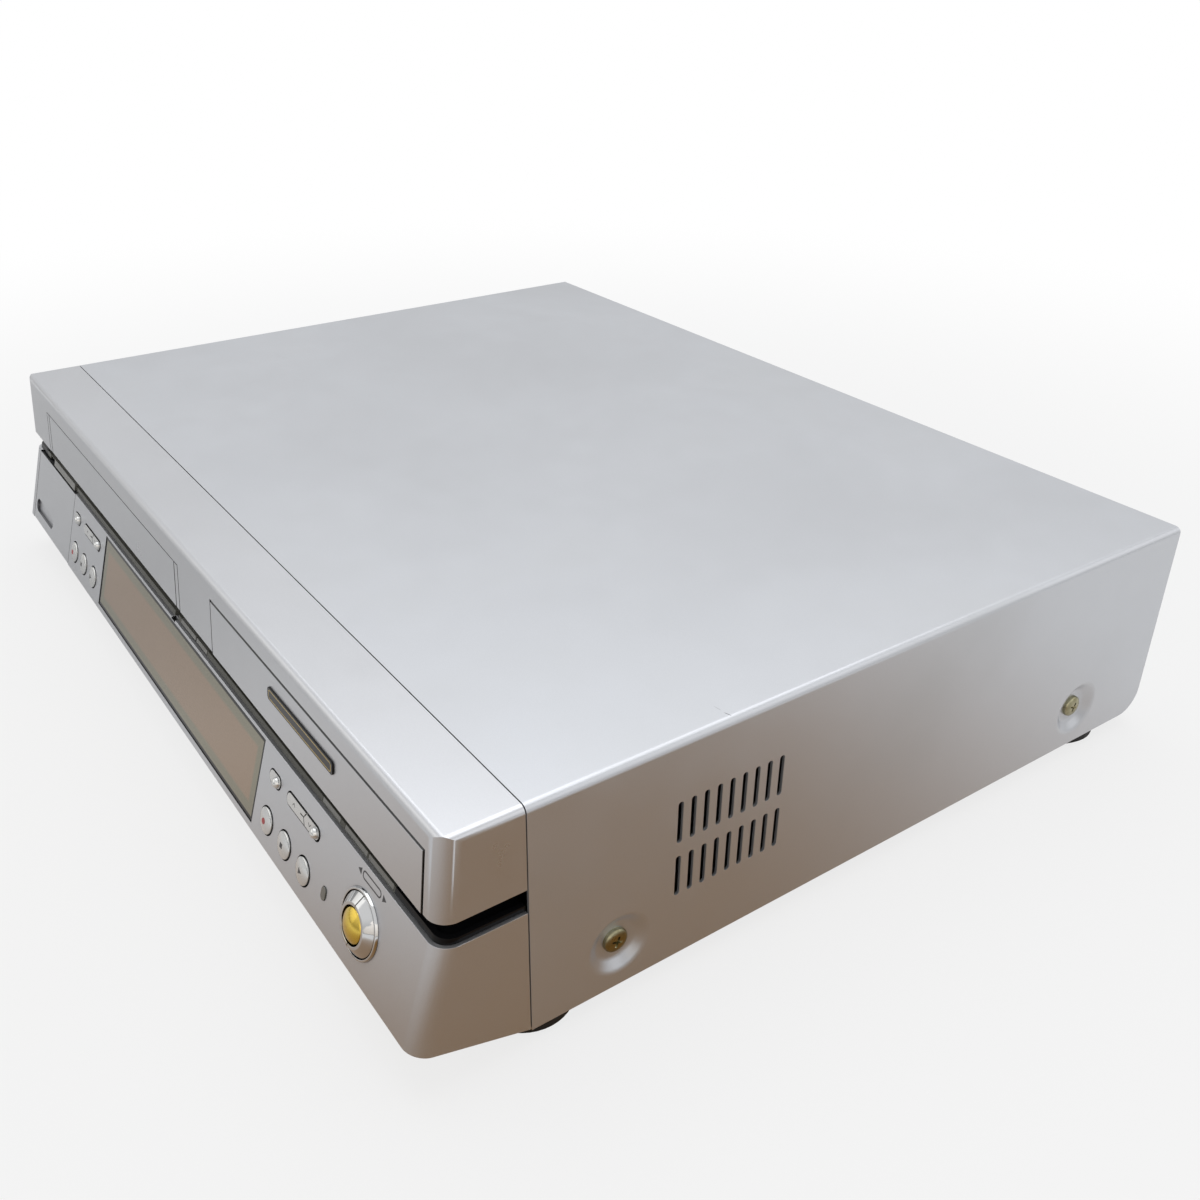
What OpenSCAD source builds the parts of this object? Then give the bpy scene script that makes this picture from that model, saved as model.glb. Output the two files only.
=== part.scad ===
// Combined disc recorder and video cassette recorder, as an assembly of separate pieces.
// Frame: +X to the right seen from the front, -Y towards the user, +Z up.
// The origin is on the table, under the middle of the whole machine.

/* [Cabinet] */
// Width of the cabinet
cabinet_w = 430; // [426:1:436]
// Height of the cabinet above its feet
cabinet_h = 83.5; // [83:0.5:88]
// Depth of the steel cover, from the seam to its rear edge
cover_d = 298; // [294:1:320]
// Thickness of the cover and chassis sheet
sheet_t = 1; // [0.8:0.1:1.2]
// Outer bend radius of the cover
bend_r = 2.5; // [2:0.25:4]
// Height of the feet
foot_h = 5.5; // [4:0.5:12]
// Radius of a foot
foot_r = 16; // [10:0.5:16]

/* [Front panel] */
// Depth of the front panel's top strip
panel_d = 25; // [24:0.5:30]
// Wall of the plastic mouldings
wall_t = 2.5; // [2:0.1:3]
// Radius of the upright front corners
corner_r = 6.5; // [4:0.5:9]
// Height of the upper silver band
upper_h = 28.5; // [28:0.25:30]
// Height of the black gap
gap_h = 8.5; // [8:0.25:10]
// Depth of the black gap behind the silver faces
gap_d = 7; // [5:0.5:8]
// Lean of the upper band from upright, in degrees
upper_lean = 5.7; // [4:0.1:7]
// Lean of the lower panel from upright, in degrees
lower_lean = 16.7; // [15:0.1:18]
// Gap between panels that only meet
seam_gap = 0.4; // [0.2:0.1:0.6]
// Clearance round pieces that move in the front panel
move_gap = 0.3; // [0.2:0.05:0.4]

/* [Cassette side] */
// Left end of the cassette opening, from the cabinet's left side
slot_left = 36; // [34:0.5:38]
// Width of the cassette opening
slot_w = 191.5; // [190:0.5:194]
// Top edge of the cassette door, down from the top
door_top = 9; // [8:0.25:10]
// Thickness of the cassette door
door_t = 2; // [1.6:0.1:2.4]
// Travel of the cassette holder
holder_travel = 62; // [50:1:64]
// Radius of the head drum
drum_r = 31; // [28:0.5:31]
// Radius of a reel table
reel_r = 12; // [10:0.5:13]
// Distance between the two reel tables
reel_pitch = 92; // [88:1:94]
// Radius of the capstan flywheel
flywheel_r = 20; // [16:0.5:22]

/* [Disc side] */
// Left end of the tray front, from the cabinet's left side
tray_left = 262; // [260:0.5:264]
// Width of the tray front's opening
tray_open_w = 160; // [158:0.5:161]
// Top edge of the tray opening, down from the top
tray_top = 7.3; // [6.5:0.1:8]
// Width of the sliding disc tray
disc_tray_w = 140; // [136:1:142]
// Travel of the disc tray
tray_travel = 138; // [120:1:140]
// Radius of the recess for a large disc
disc_r = 60.75; // [60.5:0.25:61.5]
// Module of the tray rack and gears
gear_m = 1; // [1:0.05:1.05]
// Teeth of the pinion in mesh with the rack
pinion_teeth = 18; // [16:1:20]
// Teeth of the wheel below that pinion
wheel_teeth = 30; // [26:1:32]
// Teeth of the belt pulley's pinion
pulley_teeth = 12; // [12:1:14]
// Play between meshing teeth
tooth_play = 0.22; // [0.15:0.01:0.3]
// Travel of the laser sled
sled_travel = 33; // [28:1:36]
// Radius of a guide rod
rod_r = 1.5; // [1.2:0.1:1.7]
// Running clearance of a shaft in its bore
run_gap = 0.05; // [0.03:0.01:0.08]

/* [Controls] */
// Radius of a round button
button_r = 4.7; // [4.2:0.1:5]
// Spacing of the round buttons
button_pitch = 15; // [14:0.5:15.5]
// Length of the long rocker
rocker_l = 25; // [22:0.5:26]
// Length of the small pill button
pill_l = 8.6; // [7:0.1:9]
// Height of both pill shapes
pill_h = 4.4; // [3.6:0.1:5]
// Radius of the chrome bezel round the dubbing control
bezel_r = 11.2; // [10.5:0.1:12]
// Radius of its gold centre button
gold_r = 5.6; // [5:0.1:6]
// Travel of a push button
press = 0.8; // [0.5:0.1:0.9]

/* [Ventilation and rear] */
// Number of vent slots in a row
vent_count = 9; // [7:1:11]
// Spacing of the vent slots
vent_pitch = 5; // [4.5:0.1:5.5]
// Width of a vent slot
vent_w = 2; // [1.6:0.1:2.4]
// Length of a vent slot
vent_l = 15.5; // [12:0.5:17]
// Radius of the cooling fan's rotor
fan_r = 27; // [24:0.5:28]
// Radius of a picture or sound socket's metal ring
socket_r = 4.15; // [4.1:0.05:4.3]
// Spacing of the sockets along a row
socket_pitch = 17; // [16.5:0.5:18]
// Radius of an aerial socket
aerial_r = 4.76; // [4.7:0.02:4.8]

/* [Hidden] */
$fn = 48;

// Heights and depths of the whole machine
top_z = foot_h + cabinet_h;
gap_step = (upper_h + 1.5) * tan(upper_lean);
lower_drop = upper_h + gap_h;
under_gap = 0.5;
lower_len = cos(lower_lean) * (cabinet_h - under_gap - lower_drop
    - (panel_d + gap_step) * tan(lower_lean));
front_reach = gap_step + lower_len * sin(lower_lean);
rear_reach = 8;
front_y = -(panel_d + cover_d + rear_reach - front_reach) / 2;
seam_y = front_y + panel_d;
rear_y = seam_y + cover_d;
lower_top_z = top_z - lower_drop;
gap_top_z = top_z - upper_h;
lip_in = 1.2;
lip_t = 1;
bar_in = 1.2;
bar_t = 1.8;
bar_h = 2;
end_gap = 0.5;
tray_end_gap = 1.1;
tray_seam = 0.6;
key_gap = 0.45;

// A place given from the cabinet's left side, back from its top front edge, down from its top
function across(d) = (d / 430 - 0.5) * cabinet_w;
function aside(x) = x * cabinet_w / 430;
function back(d) = front_y + d;
function down(d) = top_z - d;

// ---------------------------------------------------------------- shared shapes

module block(x, y, z)
    translate([x[0], y[0], z[0]]) cube([x[1] - x[0], y[1] - y[0], z[1] - z[0]]);

module rod_z(x, y, z, r)
    translate([x, y, z[0]]) cylinder(h = z[1] - z[0], r = r);

module rod_x(x, y, z, r)
    translate([x[0], y, z]) rotate([0, 90, 0]) cylinder(h = x[1] - x[0], r = r);

module rod_y(x, y, z, r)
    translate([x, y[0], z]) rotate([-90, 0, 0]) cylinder(h = y[1] - y[0], r = r);

// Face frames: x across, y into the face, z up along the face, zero at the face's top edge
module on_upper() translate([0, front_y, top_z]) rotate([-upper_lean, 0, 0]) children();

module on_lower() translate([0, front_y - gap_step, lower_top_z]) rotate([-lower_lean, 0, 0])
    children();

// Puts a shape drawn along +Z at a spot of the lower face, pointing out of the face
module face_spot(x, s) on_lower() translate([x, 0, -s]) rotate([90, 0, 0]) children();

module pill(l, h) {
    translate([-(l - h) / 2, -h / 2]) square([l - h, h]);
    for (side = [-1, 1]) translate([side * (l - h) / 2, 0]) circle(d = h);
}

// Plan of the front panel, set in from its outer faces
module front_plan(inset) {
    r = max(corner_r - inset, 0.4);
    w = cabinet_w / 2 - inset;
    reach = panel_d * 4;
    translate([-w, inset + r]) square([2 * w, reach]);
    translate([-w + r, inset]) square([2 * (w - r), r]);
    for (side = [-1, 1]) translate([side * (w - r), inset + r]) circle(r);
}

module upper_solid(inset) on_upper() translate([0, 0, -cabinet_h])
    linear_extrude(2 * cabinet_h) front_plan(inset);

module lower_solid(inset, len) on_lower() translate([0, 0, -len])
    linear_extrude(len + cabinet_h) front_plan(inset);

module level(z0, z1, behind) block([-cabinet_w, cabinet_w], [front_y - 60, seam_y + behind],
    [z0, z1]);

// Section of the cover across the machine
module cover_profile(inset) {
    r = bend_r - inset;
    w = cabinet_w / 2 - inset;
    h = top_z - inset;
    translate([-w, 0]) square([2 * w, h - r]);
    translate([-w + r, 0]) square([2 * (w - r), h]);
    for (side = [-1, 1]) translate([side * (w - r), h - r]) circle(r);
}

module along_y(y) translate([0, y[1], 0]) rotate([90, 0, 0])
    linear_extrude(y[1] - y[0]) children();

// ---------------------------------------------------------------- cover and chassis

screw_drop = 67;
screw_back = [57, 279];
dimple_d = 3;
dimple_r = 12;
dimple_flat_r = 6;
head_r = 4.3;
head_h = 2;
shank_r = 1.45;
vent_back = 78.3;
vent_drop = [22.2, 42.9];
rear_lip_h = 11;
rear_screw_x = [aside(-150), 0, aside(150)];
corner_back_r = 10;

// One pressed dimple: a bowl with a soft rim, pointing into the side at x = 0
module dimple_bowl(deep) rotate([0, -90, 0]) rotate_extrude() polygon(concat([[0, 0]],
    [for (i = [0 : 6]) [dimple_r - i * (dimple_r - dimple_flat_r) / 6, deep * (1 - cos(30 * i)) / 2]],
    [[0, deep]]));

module side_places() for (side = [-1, 1], y = screw_back)
    translate([side * cabinet_w / 2, back(y), down(screw_drop)])
        rotate([0, 0, side > 0 ? 0 : 180]) children();

module vent_cuts() for (side = [-1, 1], drop = vent_drop, i = [0 : vent_count - 1])
    translate([side * cabinet_w / 2, back(vent_back + i * vent_pitch), down(drop + vent_l / 2)])
        rotate([0, 90, 0]) translate([0, 0, -3 * sheet_t]) linear_extrude(6 * sheet_t)
            pill(vent_l, vent_w);

module top_cover() color("#c4c6ca") difference() {
    union() {
        difference() {
            along_y([seam_y + seam_gap, rear_y]) cover_profile(0);
            along_y([seam_y - 1, rear_y + 1]) cover_profile(sheet_t);
        }
        along_y([rear_y - sheet_t, rear_y]) intersection() {
            cover_profile(sheet_t / 2);
            translate([-cabinet_w, top_z - rear_lip_h]) square([2 * cabinet_w, rear_lip_h]);
        }
        side_places() translate([-sheet_t, 0, 0]) dimple_bowl(dimple_d);
    }
    block([-cabinet_w, cabinet_w], [seam_y - 1, rear_y + 1], [-1, foot_h]);
    side_places() translate([0.001, 0, 0]) dimple_bowl(dimple_d + 0.001);
    side_places() translate([-2 * dimple_d, 0, 0]) rotate([0, 90, 0])
        cylinder(h = 3 * dimple_d, r = shank_r + 0.15);
    for (x = rear_screw_x) rod_y(x, [rear_y - 3, rear_y + 1], down(rear_lip_h / 2 + 1),
        shank_r + 0.15);
    vent_cuts();
    difference() {
        block([-cabinet_w, cabinet_w], [rear_y - corner_back_r, rear_y + 1],
            [foot_h - 1, foot_h + corner_back_r]);
        rod_x([-cabinet_w - 1, cabinet_w + 1], rear_y - corner_back_r, foot_h + corner_back_r,
            corner_back_r);
    }
}

// A pan-head screw along +Z, its head's underside at zero
module pan_screw(len) {
    difference() {
        union() {
            cylinder(h = head_h * 0.6, r = head_r);
            translate([0, 0, head_h * 0.6]) cylinder(h = head_h * 0.4, r1 = head_r, r2 = head_r * 0.7);
        }
        for (turn = [0, 90]) rotate([0, 0, turn]) translate([-head_r * 0.55, -0.45, head_h - 1.1])
            cube([head_r * 1.1, 0.9, 2]);
    }
    translate([0, 0, -len]) cylinder(h = len, r = shank_r);
}

module cover_screws() color("#9a9468") {
    side_places() translate([-dimple_d, 0, 0]) rotate([0, 90, 0]) pan_screw(7);
    for (x = rear_screw_x) translate([x, rear_y, down(rear_lip_h / 2 + 1)]) rotate([-90, 0, 0])
        pan_screw(6);
}

pan_x = cabinet_w / 2 - dimple_d - sheet_t;
pan_z = [foot_h, foot_h + sheet_t];
flange_h = 13;
tab_w = 16;
tab_top = down(screw_drop) + 6;
bead_w = 6;
board_z = foot_h + sheet_t + 8;
foot_x = cabinet_w / 2 - foot_r - 1;
foot_back = [33, 292];
rear_in = rear_y - sheet_t;

module chassis_pan() color("#6f7275") difference() {
    union() {
        block([-pan_x, pan_x], [seam_y, rear_in - sheet_t], pan_z);
        for (side = [-1, 1]) {
            edge = side * (pan_x - sheet_t / 2);
            block([edge - sheet_t / 2, edge + sheet_t / 2], [seam_y, rear_in - sheet_t],
                [foot_h, foot_h + flange_h]);
            for (y = screw_back) block([edge - sheet_t / 2, edge + sheet_t / 2],
                [back(y) - tab_w / 2, back(y) + tab_w / 2], [foot_h, tab_top]);
        }
        block([-pan_x, pan_x], [seam_y, seam_y + sheet_t], [foot_h, foot_h + flange_h]);
        for (x = [aside(-120), aside(-40), aside(40), aside(120)]) block([x - bead_w / 2, x + bead_w / 2],
            [back(110), back(250)], [pan_z[1], pan_z[1] + 1.2]);
        for (p = board_posts) rod_z(p[0], p[1], [pan_z[1], board_z], 3);
    }
    for (side = [-1, 1], y = screw_back)
        rod_x([side * pan_x - 4, side * pan_x + 4], back(y), down(screw_drop), shank_r + 0.05);
    for (i = [0 : 7]) translate([across(300 + 8 * i), back(250), 0]) linear_extrude(2 * foot_h)
        rotate(90) pill(24, 3);
}

module feet() color("#1a1a1b") for (side = [-1, 1], y = foot_back)
    translate([side * foot_x, back(y), 0]) {
        cylinder(h = 1.5, r1 = foot_r - 1.5, r2 = foot_r);
        translate([0, 0, 1.5]) cylinder(h = foot_h - 1.5, r = foot_r);
    }

// ---------------------------------------------------------------- rear

jack_x = [aside(-132), aside(-132) + 114];
jack_z = [foot_h + 12, down(9.5)];
jack_depth = 26;
inlet_x = aside(172);
inlet_z = foot_h + 24;
inlet_w = 26;
inlet_h = 22;
fan_x = aside(52);
fan_z = foot_h + 43;
fan_size = 60;
fan_depth = 15;
tuner_x = [aside(-170) - 28, aside(-170) + 28];
tuner_d = 36;
tuner_z = [board_z + 1.6, board_z + 42];
aerial_x = [aside(-170) - 13, aside(-170) + 13];
aerial_z = [board_z + 16, board_z + 34];
rear_out = rear_y - sheet_t;
rear_back = rear_out - sheet_t;

module rear_panel() color("#b9bbbd") difference() {
    along_y([rear_back, rear_out]) intersection() {
        cover_profile(sheet_t + 0.2);
        translate([-cabinet_w, foot_h]) square([2 * cabinet_w, cabinet_h]);
    }
    block([jack_x[0] - 0.1, jack_x[1] + 0.1], [rear_back - 1, rear_out + 1],
        [jack_z[0] - 0.1, jack_z[1] + 0.1]);
    block([inlet_x - inlet_w / 2 - 0.1, inlet_x + inlet_w / 2 + 0.1],
        [rear_back - 1, rear_out + 1], [inlet_z - inlet_h / 2 - 0.1, inlet_z + inlet_h / 2 + 0.1]);
    for (x = aerial_x, z = aerial_z) rod_y(x, [rear_back - 1, rear_out + 1], z, aerial_r + 0.6);
    for (x = rear_screw_x) rod_y(x, [rear_back - 1, rear_out + 1], down(rear_lip_h / 2 + 1),
        shank_r + 0.05);
    intersection() {
        rod_y(fan_x, [rear_back - 1, rear_out + 1], fan_z, fan_r);
        for (i = [-5 : 5]) block([fan_x - fan_r, fan_x + fan_r], [rear_back - 1, rear_out + 1],
            [fan_z + 5 * i - 1.5, fan_z + 5 * i + 1.5]);
    }
    for (x = [fan_x - 25, fan_x + 25], z = [fan_z - 25, fan_z + 25])
        rod_y(x, [rear_back - 1, rear_out + 1], z, 1.7);
    for (side = [0, 1]) mirror([side, 0, 0]) difference() {
        w = cabinet_w / 2 - sheet_t - 0.2;
        block([w - corner_back_r, w + 1], [rear_back - 1, rear_out + 1],
            [foot_h - 1, foot_h + corner_back_r]);
        rod_y(w - corner_back_r, [rear_back - 2, rear_out + 2], foot_h + corner_back_r,
            corner_back_r);
    }
}

module fan_frame() color("#1c1c1d") difference() {
    hub_r = 12;
    union() {
        difference() {
            block([fan_x - fan_size / 2, fan_x + fan_size / 2], [rear_back - fan_depth, rear_back],
                [fan_z - fan_size / 2, fan_z + fan_size / 2]);
            rod_y(fan_x, [rear_back - fan_depth - 1, rear_back + 1], fan_z, fan_r + 1);
        }
        rod_y(fan_x, [rear_back - fan_depth, rear_back - fan_depth + 2], fan_z, hub_r);
        for (turn = [0, 90, 180, 270]) translate([fan_x, rear_back - fan_depth, fan_z])
            rotate([0, turn, 0]) block([0, fan_r + 2], [0, 2], [-1.5, 1.5]);
    }
    for (x = [fan_x - 25, fan_x + 25], z = [fan_z - 25, fan_z + 25])
        rod_y(x, [rear_back - fan_depth - 1, rear_back + 1], z, 1.7);
    rod_y(fan_x, [rear_back - fan_depth - 1, rear_back - fan_depth + 3], fan_z, 1.5 + run_gap);
}

module fan_blades() color("#26272a") translate([fan_x, 0, fan_z]) {
    blade_y = rear_back - fan_depth + 3.2;
    rod_y(0, [blade_y, rear_back - 1.5], 0, 11);
    rod_y(0, [rear_back - fan_depth + 0.2, blade_y], 0, 1.5);
    intersection() {
        rod_y(0, [blade_y, rear_back - 1.5], 0, fan_r);
        for (i = [0 : 6]) rotate([0, i * 360 / 7, 0]) translate([10, (blade_y + rear_back - 1.5) / 2, 0])
            rotate([38, 0, 0]) block([0, fan_r], [-0.7, 0.7], [-11, 11]);
    }
}

jack_h = jack_z[1] - jack_z[0];
socket_rows = [0.298 * jack_h, 0.54 * jack_h, 0.782 * jack_h];
round_z = jack_z[0] + 6.6;
round_r = 4.4;
socket_cols = 6;
socket_x0 = jack_x[0] + 14;
ring_out = 7;

function socket_x(i) = socket_x0 + i * socket_pitch;
function socket_z(j) = jack_z[0] + socket_rows[j];

module jack_block() color("#1b1b1c") {
    difference() {
        union() {
            block(jack_x, [rear_out - jack_depth, rear_out], jack_z);
            block([jack_x[0] - 2, jack_x[1] + 2], [rear_back - 2, rear_back],
                [jack_z[0] - 1, jack_z[1] + 2]);
            block([jack_x[0] + 10, jack_x[1] - 10], [rear_out - jack_depth, rear_out - 18],
                [board_z + board_t, jack_z[0]]);
        }
        for (i = [0 : socket_cols - 1], j = [0 : 2])
            rod_y(socket_x(i), [rear_out - 12, rear_out + 1], socket_z(j), 6);
        for (i = [0, 2]) rod_y(socket_x(i), [rear_out - 8, rear_out + 1], round_z, round_r);
    }
    for (i = [0, 2], sx = [-1, 1], sz = [-1, 1])
        rod_y(socket_x(i) + 1.5 * sx, [rear_out - 9, rear_out - 2], round_z + 1.5 * sz, 0.4);
}

// Each socket: an insulating cup with a metal ring and a tube for the plug's pin
module av_sockets() for (i = [0 : socket_cols - 1], j = [0 : 2])
    color(j == 2 ? "#d8b21c" : j == 1 ? "#e8e8e4" : "#b8262a")
        translate([socket_x(i), 0, socket_z(j)]) difference() {
            union() {
                rod_y(0, [rear_out - 11.9, rear_out + 0.5], 0, 5.9);
                rod_y(0, [rear_out, rear_out + ring_out], 0, socket_r);
            }
            difference() {
                rod_y(0, [rear_out - 3, rear_out + ring_out + 1], 0, socket_r - 0.6);
                rod_y(0, [rear_out - 4, rear_out + ring_out - 1.5], 0, 2.6);
            }
            rod_y(0, [rear_out - 9, rear_out + ring_out + 1], 0, 1.6);
        }

module tuner_box() color("#c2c4c0") {
    difference() {
        block(tuner_x, [rear_back - tuner_d, rear_back - 0.2], tuner_z);
        for (z = [tuner_z[0] + 8, tuner_z[1] - 8], i = [0 : 4])
            block([tuner_x[0] + 6 + 9 * i, tuner_x[0] + 11 + 9 * i],
                [rear_back - tuner_d - 1, rear_back - tuner_d + 0.5], [z - 1, z + 1]);
    }
    for (x = aerial_x, z = aerial_z) difference() {
        rod_y(x, [rear_back - 0.2, rear_y + rear_reach], z, aerial_r);
        rod_y(x, [rear_y - 6, rear_y + rear_reach + 1], z, 1.4);
    }
}

module mains_inlet() color("#161617") difference() {
    union() {
        block([inlet_x - inlet_w / 2, inlet_x + inlet_w / 2], [rear_out - 20, rear_out],
            [inlet_z - inlet_h / 2, inlet_z + inlet_h / 2]);
        block([inlet_x - inlet_w / 2 - 2, inlet_x + inlet_w / 2 + 2], [rear_back - 1.5, rear_back],
            [inlet_z - inlet_h / 2 - 2, inlet_z + inlet_h / 2 + 2]);
        block([inlet_x - 6, inlet_x + 6], [rear_out - 20, rear_out - 12],
            [board_z + 1.6, inlet_z - inlet_h / 2]);
    }
    difference() {
        translate([inlet_x, rear_out + 1, inlet_z]) rotate([90, 0, 0]) linear_extrude(13) pill(16, 9);
        for (side = [-1, 1]) rod_y(inlet_x + side * 4, [rear_out - 13, rear_out - 3], inlet_z, 1.2);
    }
}

// ---------------------------------------------------------------- boards

board_t = 1.6;
main_x = [10 - cabinet_w / 2, aside(12)];
main_y = [back(286), rear_back - 1];
power_x = [aside(92), cabinet_w / 2 - 10];
power_y = [back(212), rear_back - 1];
board_posts = [
    [main_x[0] + 6, main_y[0] + 6], [main_x[1] - 6, main_y[0] + 6],
    [main_x[0] + 70, main_y[1] - 6], [main_x[1] - 6, main_y[1] - 6],
    [power_x[0] + 6, power_y[0] + 6], [power_x[1] - 6, power_y[0] + 6],
    [power_x[0] + 6, power_y[1] - 6], [power_x[1] - 6, power_y[1] - 6]];

module chip(x, y, w, d, h) block([x - w / 2, x + w / 2], [y - d / 2, y + d / 2],
    [board_z + board_t, board_z + board_t + h]);

module main_board() color("#2e6b3c") {
    block(main_x, main_y, [board_z, board_z + board_t]);
    chip(aside(-100), main_y[0] + 6, 16, 8, 2);
    chip(aside(-60), main_y[0] + 6, 12, 8, 2);
    chip(aside(-30), main_y[0] + 6, 20, 6, 7);
    chip(jack_x[1] + (main_x[1] - jack_x[1]) * 7 / 15, main_y[0] + 20, 8, 20, 6);
}

module power_board() color("#a8803c") {
    block(power_x, power_y, [board_z, board_z + board_t]);
    sink_x = power_x[0] + 16;
    block([sink_x, sink_x + 3], [power_y[0] + 10, power_y[0] + 60],
        [board_z + board_t, board_z + 34]);
    for (i = [0 : 4]) block([sink_x + 3, sink_x + 13],
        [power_y[0] + 12 + 11 * i, power_y[0] + 13.5 + 11 * i], [board_z + board_t, board_z + 34]);
    for (i = [0 : 2]) rod_z(power_x[1] - 14, power_y[0] + 14 + 19 * i,
        [board_z + board_t, board_z + 26], 7.5);
    chip(power_x[0] + 50, power_y[1] - 12, 14, 12, 12);
}

module power_transformer() color("#4a3a2a") {
    tx = power_x[0] + 0.5487 * (power_x[1] - power_x[0]);
    ty = power_y[0] + 34;
    z0 = board_z + board_t;
    difference() {
        block([tx - 20, tx + 20], [ty - 16, ty + 16], [z0 + 4, z0 + 32]);
        for (side = [-1, 1]) translate([tx + side * 20, ty, z0 + 18]) rotate([90, 0, 0])
            cylinder(h = 40, r = 1.6, center = true);
    }
    block([tx - 13, tx + 13], [ty - 21, ty + 21], [z0 + 7, z0 + 29]);
    for (sx = [-1, 1], sy = [-1, 1]) rod_z(tx + sx * 15, ty + sy * 11, [z0, z0 + 5], 1.2);
}

// ---------------------------------------------------------------- front mouldings

tray_right = tray_left + tray_open_w;
slot_right = slot_left + slot_w;
cut_d = 2 * panel_d;
up_cos = cos(upper_lean);
pivot_s = 5.2;
pivot_d = 4.6;
pivot_r = 1.6;
pin_r = 1.1;
pin_l = 3;

// Round the top front edge of the upper moulding
module top_edge_cut() {
    half = (90 + upper_lean) / 2;
    run = bend_r / tan(half);
    centre = [front_y + run, top_z - bend_r];
    on_face = [front_y - run * sin(upper_lean), top_z - run * cos(upper_lean)];
    out = [-cos(upper_lean), sin(upper_lean)];
    rotate([90, 0, 90]) translate([0, 0, -cabinet_w]) linear_extrude(2 * cabinet_w) difference() {
        polygon([[centre[0], top_z + 1], [front_y - 3, top_z + 1], on_face + out, centre]);
        translate(centre) circle(bend_r);
    }
}

module front_upper_panel() color("#c8cacc") difference() {
    union() {
        difference() {
            intersection() {
                upper_solid(0);
                level(gap_top_z, top_z, 0);
                along_y([front_y - 20, seam_y + 20]) cover_profile(0);
            }
            intersection() {
                upper_solid(wall_t);
                level(gap_top_z + wall_t, top_z - wall_t, 1);
            }
            top_edge_cut();
        }
        for (x = [across(slot_left) - 5, across(slot_right) + move_gap]) on_upper()
            block([x, x + 5 - move_gap], [wall_t - 0.01, 8], [-9, -wall_t + 0.2]);
    }
    on_upper() block([across(slot_left), across(slot_right)], [-5, cut_d],
        [-cabinet_h / 2, -door_top]);
    on_upper() block([across(tray_left), across(tray_right)], [-5, cut_d],
        [-cabinet_h / 2, -tray_top]);
    on_upper() rod_x([across(slot_left) - pin_l - 1, across(slot_right) + pin_l + 1], pivot_d,
        -pivot_s, pin_r + run_gap);
}

lens_x = [[353, 365.7], [369, 384.2], [385, 401]];

key_s = [(upper_h + 4.2) / up_cos, (upper_h + 6.4) / up_cos];
key_face = gap_d + 1.8;
power_key = [25.5, 33.3];
eject_key = [229, 235.3];
open_key = [240, 248];
power_face = [34.5, 71];
eject_face = [221, 237.4];
open_face = [238.4, 249.6];
sensor_hole = [213.8, 217.7];

// A strip that leans like the lower panel and stands in the gap, between two depths
module leaning(x, depth, z) intersection() {
    difference() {
        lower_solid(depth[0], lower_len);
        lower_solid(depth[1], lower_len);
    }
    level(z[0], z[1], 0);
    block([across(x[0]), across(x[1])], [front_y - 60, seam_y], [0, top_z]);
}

// Clears the bar and the gap's floor over a stretch, back to the given depth
module bar_well(x, depth) intersection() {
    on_lower() block([across(x[0]), across(x[1])], [-5, depth], [-5, 12]);
    level(lower_top_z - 1, lower_top_z + bar_h + 0.1, 1);
}

module gap_hole(key, grow) on_upper()
    block([across(key[0]) - grow, across(key[1]) + grow], [gap_d - 0.5, gap_d + 8],
        [-key_s[1] - grow, -key_s[0] + grow]);

module front_gap_strip() color("#101112") difference() {
    union() {
        difference() {
            intersection() {
                upper_solid(lip_in);
                level(lower_top_z + lip_t / 2, gap_top_z, 0);
            }
            intersection() {
                upper_solid(gap_d + 1.8);
                level(lower_top_z - 1, gap_top_z + 1, 1);
            }
            intersection() {
                difference() {
                    upper_solid(-1);
                    upper_solid(gap_d);
                }
                level(lower_top_z - 1, gap_top_z - lip_t, 1);
            }
        }
        difference() {
            intersection() {
                lower_solid(bar_in, lower_len);
                level(lower_top_z, lower_top_z + lip_t, 0);
            }
            upper_solid(gap_d + 1.8);
        }
        leaning([0, 430], [bar_in, bar_in + bar_t], [lower_top_z, lower_top_z + bar_h]);
    }
    intersection() {
        on_upper() block([across(slot_left), across(slot_right)], [-5, cut_d],
            [-cabinet_h, -door_top]);
        level(lower_top_z + bar_h, top_z, 1);
    }
    intersection() {
        on_upper() block([across(slot_left), across(slot_right)], [4.4, cut_d],
            [-cabinet_h, -door_top]);
        level(lower_top_z + lip_t, top_z, 1);
    }
    on_upper() block([across(tray_left), across(tray_right)], [-5, 3.2],
        [-(upper_h + 1.6) / up_cos, -upper_h + 3]);
    for (key = [power_key, eject_key, open_key]) gap_hole(key, move_gap);
    bar_well([power_key[0] - 0.8, power_face[1] + move_gap], 3.4);
    bar_well(sensor_hole, 5);
    bar_well([eject_face[0] - 0.6, open_face[1] + move_gap], 4);
    for (x = lens_x) bar_lens(x, 0.2, 1);
}

// A key with a face in the bar's line, on an arm that runs back through the gap's wall
module gap_key(face, key, depth, z) color("#2a2b2d") {
    arm_y = front_y + depth[1] - 3.2;
    arm_z = [lower_top_z + lip_t + move_gap, lower_top_z + bar_h];
    leaning(face, depth, z);
    block([across(key[0]), across(key[1])], [arm_y, front_y + 3.2], arm_z);
    if (face[0] > key[1]) block([across(key[0]), across(face[0] + 2)], [arm_y, arm_y + 1.6], arm_z);
    on_upper() key_body(key);
}

module key_body(x) {
    mid = -(key_s[0] + key_s[1]) / 2;
    block([across(x[0]), across(x[1])], [gap_d - 1.2, key_face + 0.3], [-key_s[1], -key_s[0]]);
    block([across(x[0]) - 0.8, across(x[1]) + 0.8], [key_face + 0.1, key_face + 1.3],
        [-key_s[1] - 0.7, -key_s[0] + 0.7]);
    block([across((x[0] + x[1]) / 2) - 2, across((x[0] + x[1]) / 2) + 2],
        [key_face + 1.2, key_board_d - 2.4 - press], [mid - 0.8, mid + 0.8]);
}

key_board_d = 14.5;

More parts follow.
